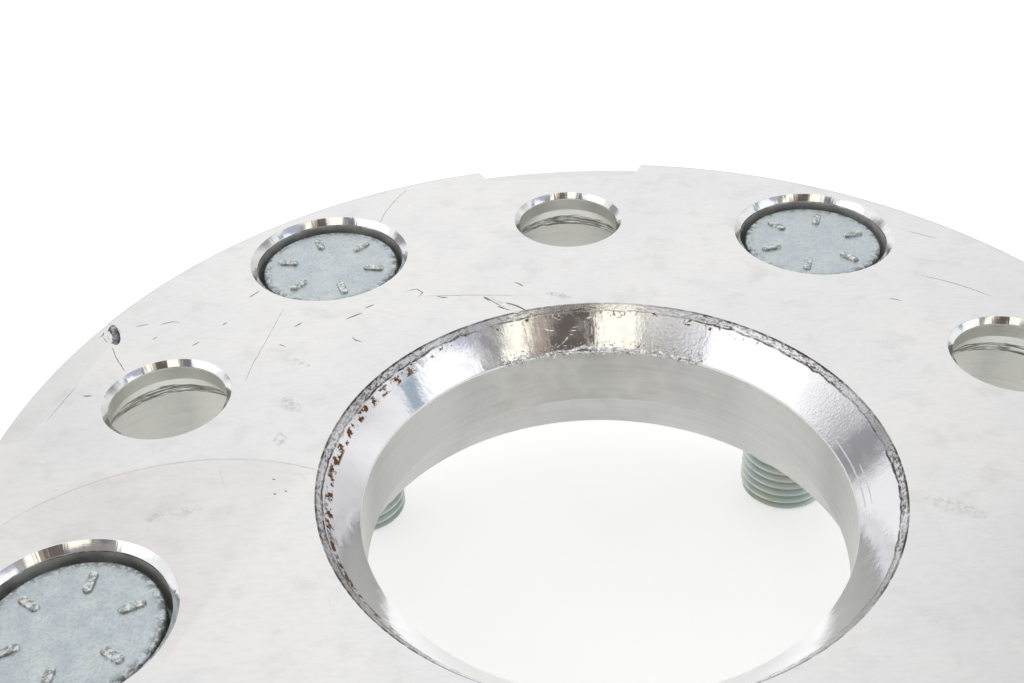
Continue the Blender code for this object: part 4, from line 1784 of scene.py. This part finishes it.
@dataclass
class Studs:
    """Five zinc-plated wheel studs: round head with raised marks, straight knurl and thread."""

    count: int = HOLE_COUNT
    circle: float = STUD_CIRCLE
    first_angle: float = STUD_START
    head_radius: float = 9.7
    head_top: float = 48.0
    head_bottom: float = 43.5
    head_edge: float = 0.4
    head_segments: int = 96
    knurl_ridges: int = 40
    knurl_radius: float = 7.6
    knurl_root: float = 7.2
    knurl_bottom: float = 33.5
    thread_crest: float = 7.0
    thread_root: float = 6.1
    pitch: float = 1.5
    end_chamfer: float = 1.0
    mark_count: int = 6
    mark_circle: float = 6.4
    mark_length: float = 3.0
    mark_width: float = 1.1
    mark_height: float = 0.28
    mark_turns: Tuple[float, ...] = (0.3, 0.75, 0.1, 0.5, 0.9)

    def mark(self) -> Mesh:
        """Make one raised bar with rounded ends and a softened top."""
        work = bmesh.new()
        rings = []
        heights = (
            (1.0, -0.1),
            (1.0, self.mark_height * 0.6),
            (0.86, self.mark_height),
            (0.5, self.mark_height + 0.02),
        )
        for scale, height in heights:
            ring = []
            for step in range(BAR_STEPS):
                angle = FULL_TURN * step / BAR_STEPS
                straight = (self.mark_length - self.mark_width) / 2 * (1 if math.cos(angle) >= 0 else -1)
                x = straight + math.cos(angle) * self.mark_width / 2 * scale
                y = math.sin(angle) * self.mark_width / 2 * scale
                ring.append(work.verts.new((x * MM, y * MM, (self.head_top + height) * MM)))
            rings.append(ring)
        for lower, upper in zip(rings, rings[1:]):
            for index in range(BAR_STEPS):
                after = (index + 1) % BAR_STEPS
                work.faces.new((lower[index], lower[after], upper[after], upper[index]))
        work.faces.new(rings[-1])
        work.faces.new(list(reversed(rings[0])))
        return closed_mesh("mark", work)

    def shared_parts(self, head: Material, thread: Material) -> List[Mesh]:
        """Make what all studs have in common, on the Z axis.

        Args:
            head: The head's finish.
            thread: The finish of the knurl and the thread.

        Returns:
            Meshes of the head, the knurl, the thread and its end.
        """
        profile = [
            (0.0, self.head_top),
            (self.head_radius, self.head_top),
            (self.head_radius, self.head_bottom),
            (0.0, self.head_bottom),
        ]
        rounded_head = tuple(rounded(profile, {1: self.head_edge, 2: 0.2}, 6))
        head_mesh = turned("head", [Section(rounded_head, head)], Spread(self.head_segments))
        knurl_values = {
            "Ridges": self.knurl_ridges,
            "Outer Radius": self.knurl_radius * MM,
            "Inner Radius": self.knurl_root * MM,
            "Low": (self.knurl_bottom - 0.1) * MM,
            "High": (self.head_bottom + 0.1) * MM,
            "Finish": thread,
        }
        seed_mesh = bpy.data.meshes.new("seed")
        knurl = grown(splines_tree(), seed_mesh, knurl_values)
        turns = math.ceil((self.knurl_bottom + 0.2) / self.pitch)
        thread_values = {
            "Crest Radius": self.thread_crest * MM,
            "Root Radius": self.thread_root * MM,
            "Pitch": self.pitch * MM,
            "Turns": turns,
            "Low": 0.0,
            "High": (self.knurl_bottom + 0.1) * MM,
            "End Chamfer": self.end_chamfer * MM,
            "Finish": thread,
        }
        ridges = grown(thread_tree(), seed_mesh, thread_values)
        end = row_mesh([(self.thread_crest - self.end_chamfer, 0.0), (0.0, 0.0)])
        end_values = {"Segments": THREAD_COLUMNS - 1, "Finish": thread}
        cap = grown(bpy.data.node_groups["turned_section"], end, end_values)
        shank = joined("shank", [ridges, cap])
        return [head_mesh, knurl, shank]

    def build(self) -> List[bpy.types.Object]:
        """Make the five studs, each one a piece that stands for its CAD node.

        Returns:
            The studs' objects.
        """
        head = ZincHeadFinish().material()
        thread = ZincThreadFinish().material()
        scuffed = ScuffedMarkFinish().material()
        common = self.shared_parts(head, thread)
        tree = marks_tree()
        studs = []
        for number in range(self.count):
            values = {
                "Count": self.mark_count,
                "Circle Radius": self.mark_circle * MM,
                "First Angle": self.mark_turns[number],
                "Finish": scuffed,
            }
            marks = grown(tree, self.mark(), values)
            body = joined(f"stud_{number + 1}", [mesh.copy() for mesh in common] + [marks])
            crease(body, 34.0)
            angle = self.first_angle + number * FULL_TURN / self.count
            place = Vector((math.cos(angle), math.sin(angle), 0.0)) * (self.circle * MM)
            body.transform(Matrix.Translation(place) @ Matrix.Rotation(angle, 4, "Z"))
            stud = linked(f"dressed_stud_{number + 1}", body)
            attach(stud, "root")
            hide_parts(f"stud_{number + 1}")
            studs.append(stud)
        return studs


@dataclass(frozen=True)
class Panel:
    """One soft light panel or dark part of the studio, by the direction it lies in, in degrees."""

    azimuth: float
    half_width: float
    elevation: float
    half_height: float
    colour: Colour
    level: float = 1.0
    softness: float = 3.0


STUDIO_PANELS: Tuple[Panel, ...] = (
    Panel(180.0, 62.0, 30.0, 27.0, (170.0, 167.0, 163.0), 1.0, 12.0),
    Panel(180.0, 44.0, 6.0, 34.0, (144.0, 141.0, 138.0), 1.0, 20.0),
    Panel(36.0, 20.0, 4.0, 14.0, (222.0, 222.0, 222.0), 1.0, 16.0),
    Panel(54.0, 18.0, 44.0, 17.0, (160.0, 160.0, 160.0), 1.0, 18.0),
    Panel(-30.0, 8.0, 37.0, 9.0, (204.0, 204.0, 204.0), 1.0, 12.0),
    Panel(-54.0, 12.0, 21.0, 11.0, (158.0, 157.0, 161.0), 1.0, 9.0),
    Panel(-17.0, 8.0, 24.0, 6.0, (255.0, 255.0, 255.0), 1.08, 9.0),
    Panel(-103.0, 26.0, 40.0, 18.0, (255.0, 255.0, 255.0), 1.25, 3.0),
    Panel(-139.0, 7.0, 52.0, 12.0, (124.0, 122.0, 128.0), 1.0, 4.0),
    Panel(-168.0, 13.0, 57.0, 12.0, (255.0, 250.0, 234.0), 1.3, 3.0),
    Panel(167.2, 12.0, 54.0, 14.0, (104.0, 97.0, 93.0), 1.0, 2.0),
    Panel(150.0, 5.0, 52.0, 12.0, (180.0, 164.0, 152.0), 1.0, 2.0),
    Panel(139.0, 6.5, 51.0, 12.0, (255.0, 253.0, 236.0), 1.3, 2.0),
    Panel(127.0, 5.5, 48.0, 10.0, (164.0, 162.0, 162.0), 1.0, 3.0),
    Panel(108.0, 14.0, 29.0, 17.0, (255.0, 255.0, 255.0), 1.2, 3.0),
    Panel(89.5, 3.5, 34.0, 12.0, (166.0, 182.0, 194.0), 1.0, 3.0),
    Panel(106.0, 14.0, 53.0, 7.0, (184.0, 190.0, 206.0), 1.0, 3.0),
)


@dataclass
class Studio:
    """Pale floor, soft light from all round and the camera."""

    base: Colour = (252.0, 252.0, 252.0)
    zenith: Colour = (250.0, 250.0, 250.0)
    panels: Tuple[Panel, ...] = STUDIO_PANELS
    floor_half: float = 3.0
    floor_colour: Colour = (236.0, 236.0, 234.0)
    camera_lift: float = 0.5
    gloss_lift: float = 0.46
    camera_place: Tuple[float, float, float] = (-12.423, -107.266, 145.810)
    tilt: float = 0.9431
    roll: float = -0.0407
    heading: float = -0.0199
    lens: float = 44.18
    sensor: float = 36.0

    def light(self) -> None:
        """Make the world: a level base with panels in the directions where the real studio had them."""
        world = bpy.data.worlds.new("studio")
        world.use_nodes = True
        bpy.context.scene.world = world
        graph = Graph(world.node_tree)
        background = world.node_tree.nodes["Background"]
        x, y, z = graph.split(graph.node("ShaderNodeTexCoord").outputs["Generated"])
        azimuth = graph.math("DEGREES", graph.math("ARCTAN2", x, y))
        elevation = graph.math("DEGREES", graph.math("ARCSINE", z))
        tone = graph.mixed(graph.ramp(elevation, 20.0, 80.0), linear(*self.base), linear(*self.zenith))
        for panel in self.panels:
            aside = graph.math("WRAP", graph.minus(azimuth, panel.azimuth), 180.0, -180.0)
            aside = graph.math("ABSOLUTE", aside)
            above = graph.math("ABSOLUTE", graph.minus(elevation, panel.elevation))
            soft = panel.softness / 2
            wide = graph.ramp(aside, panel.half_width - soft, panel.half_width + soft, 1.0, 0.0)
            tall = graph.ramp(above, panel.half_height - soft, panel.half_height + soft, 1.0, 0.0)
            tone = graph.mixed(graph.times(wide, tall), tone, linear(*panel.colour, panel.level))
        seen = graph.node("ShaderNodeLightPath").outputs["Is Camera Ray"]
        tone = graph.mixed(seen, tone, (1.0, 1.0, 1.0, 1.0))
        graph.feed(background.inputs["Color"], tone)

    def floor(self) -> bpy.types.Object:
        """Make the floor, which looks white to the camera and still keeps the part's shadow.

        Returns:
            The floor's object.
        """
        half = self.floor_half
        mesh = bpy.data.meshes.new("floor")
        corners = [(-half, -half, 0.0), (half, -half, 0.0), (half, half, 0.0), (-half, half, 0.0)]
        mesh.from_pydata(corners, [], [(0, 1, 2, 3)])
        material = bpy.data.materials.new("floor_paper")
        material.use_nodes = True
        graph = Graph(material.node_tree)
        material.node_tree.nodes.remove(material.node_tree.nodes["Principled BSDF"])
        rays = graph.node("ShaderNodeLightPath").outputs
        straight = graph.larger(rays["Is Camera Ray"], rays["Is Transmission Ray"])
        lift = graph.times(straight, self.camera_lift)
        lift = graph.larger(lift, graph.times(rays["Is Glossy Ray"], self.gloss_lift))
        glow = graph.node("ShaderNodeEmission", {"Color": (1.0, 1.0, 0.995, 1.0), "Strength": lift})
        paper = graph.node("ShaderNodeBsdfDiffuse", {"Color": linear(*self.floor_colour)})
        both = graph.node("ShaderNodeAddShader", {0: paper.outputs[0], 1: glow.outputs[0]})
        graph.feed(material.node_tree.nodes["Material Output"].inputs["Surface"], both.outputs[0])
        mesh.materials.append(material)
        floor = linked("floor", mesh)
        return floor

    def camera(self) -> bpy.types.Object:
        """Make the camera at the photograph's viewing angle.

        Returns:
            The camera's object.
        """
        data = bpy.data.cameras.new("camera")
        data.lens = self.lens
        data.sensor_width = self.sensor
        data.clip_start = 0.005
        data.clip_end = 20.0
        camera = bpy.data.objects.new("camera", data)
        bpy.context.scene.collection.objects.link(camera)
        turn = Matrix.Rotation(self.heading, 4, "Z") @ Matrix.Rotation(self.tilt, 4, "X")
        turn = turn @ Matrix.Rotation(self.roll, 4, "Z")
        camera.matrix_world = Matrix.Translation(Vector(self.camera_place) * MM) @ turn
        bpy.context.scene.camera = camera
        return camera

    def build(self) -> None:
        """Set up the view, the light, the floor and the camera."""
        bpy.context.scene.view_settings.view_transform = "Standard"
        self.light()
        self.floor()
        self.camera()


def main() -> None:
    """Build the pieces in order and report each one."""
    logging.basicConfig(level=logging.INFO, format="%(name)s: %(message)s")
    Studio().build()
    log.info("studio ready")
    SharedGroups().build()
    lathe_tree()
    disc = Disc().build()
    log.info("%s has %d faces", disc.name, len(disc.data.polygons))
    for stud in Studs().build():
        log.info("%s has %d faces", stud.name, len(stud.data.polygons))


if __name__ == "__main__":
    main()
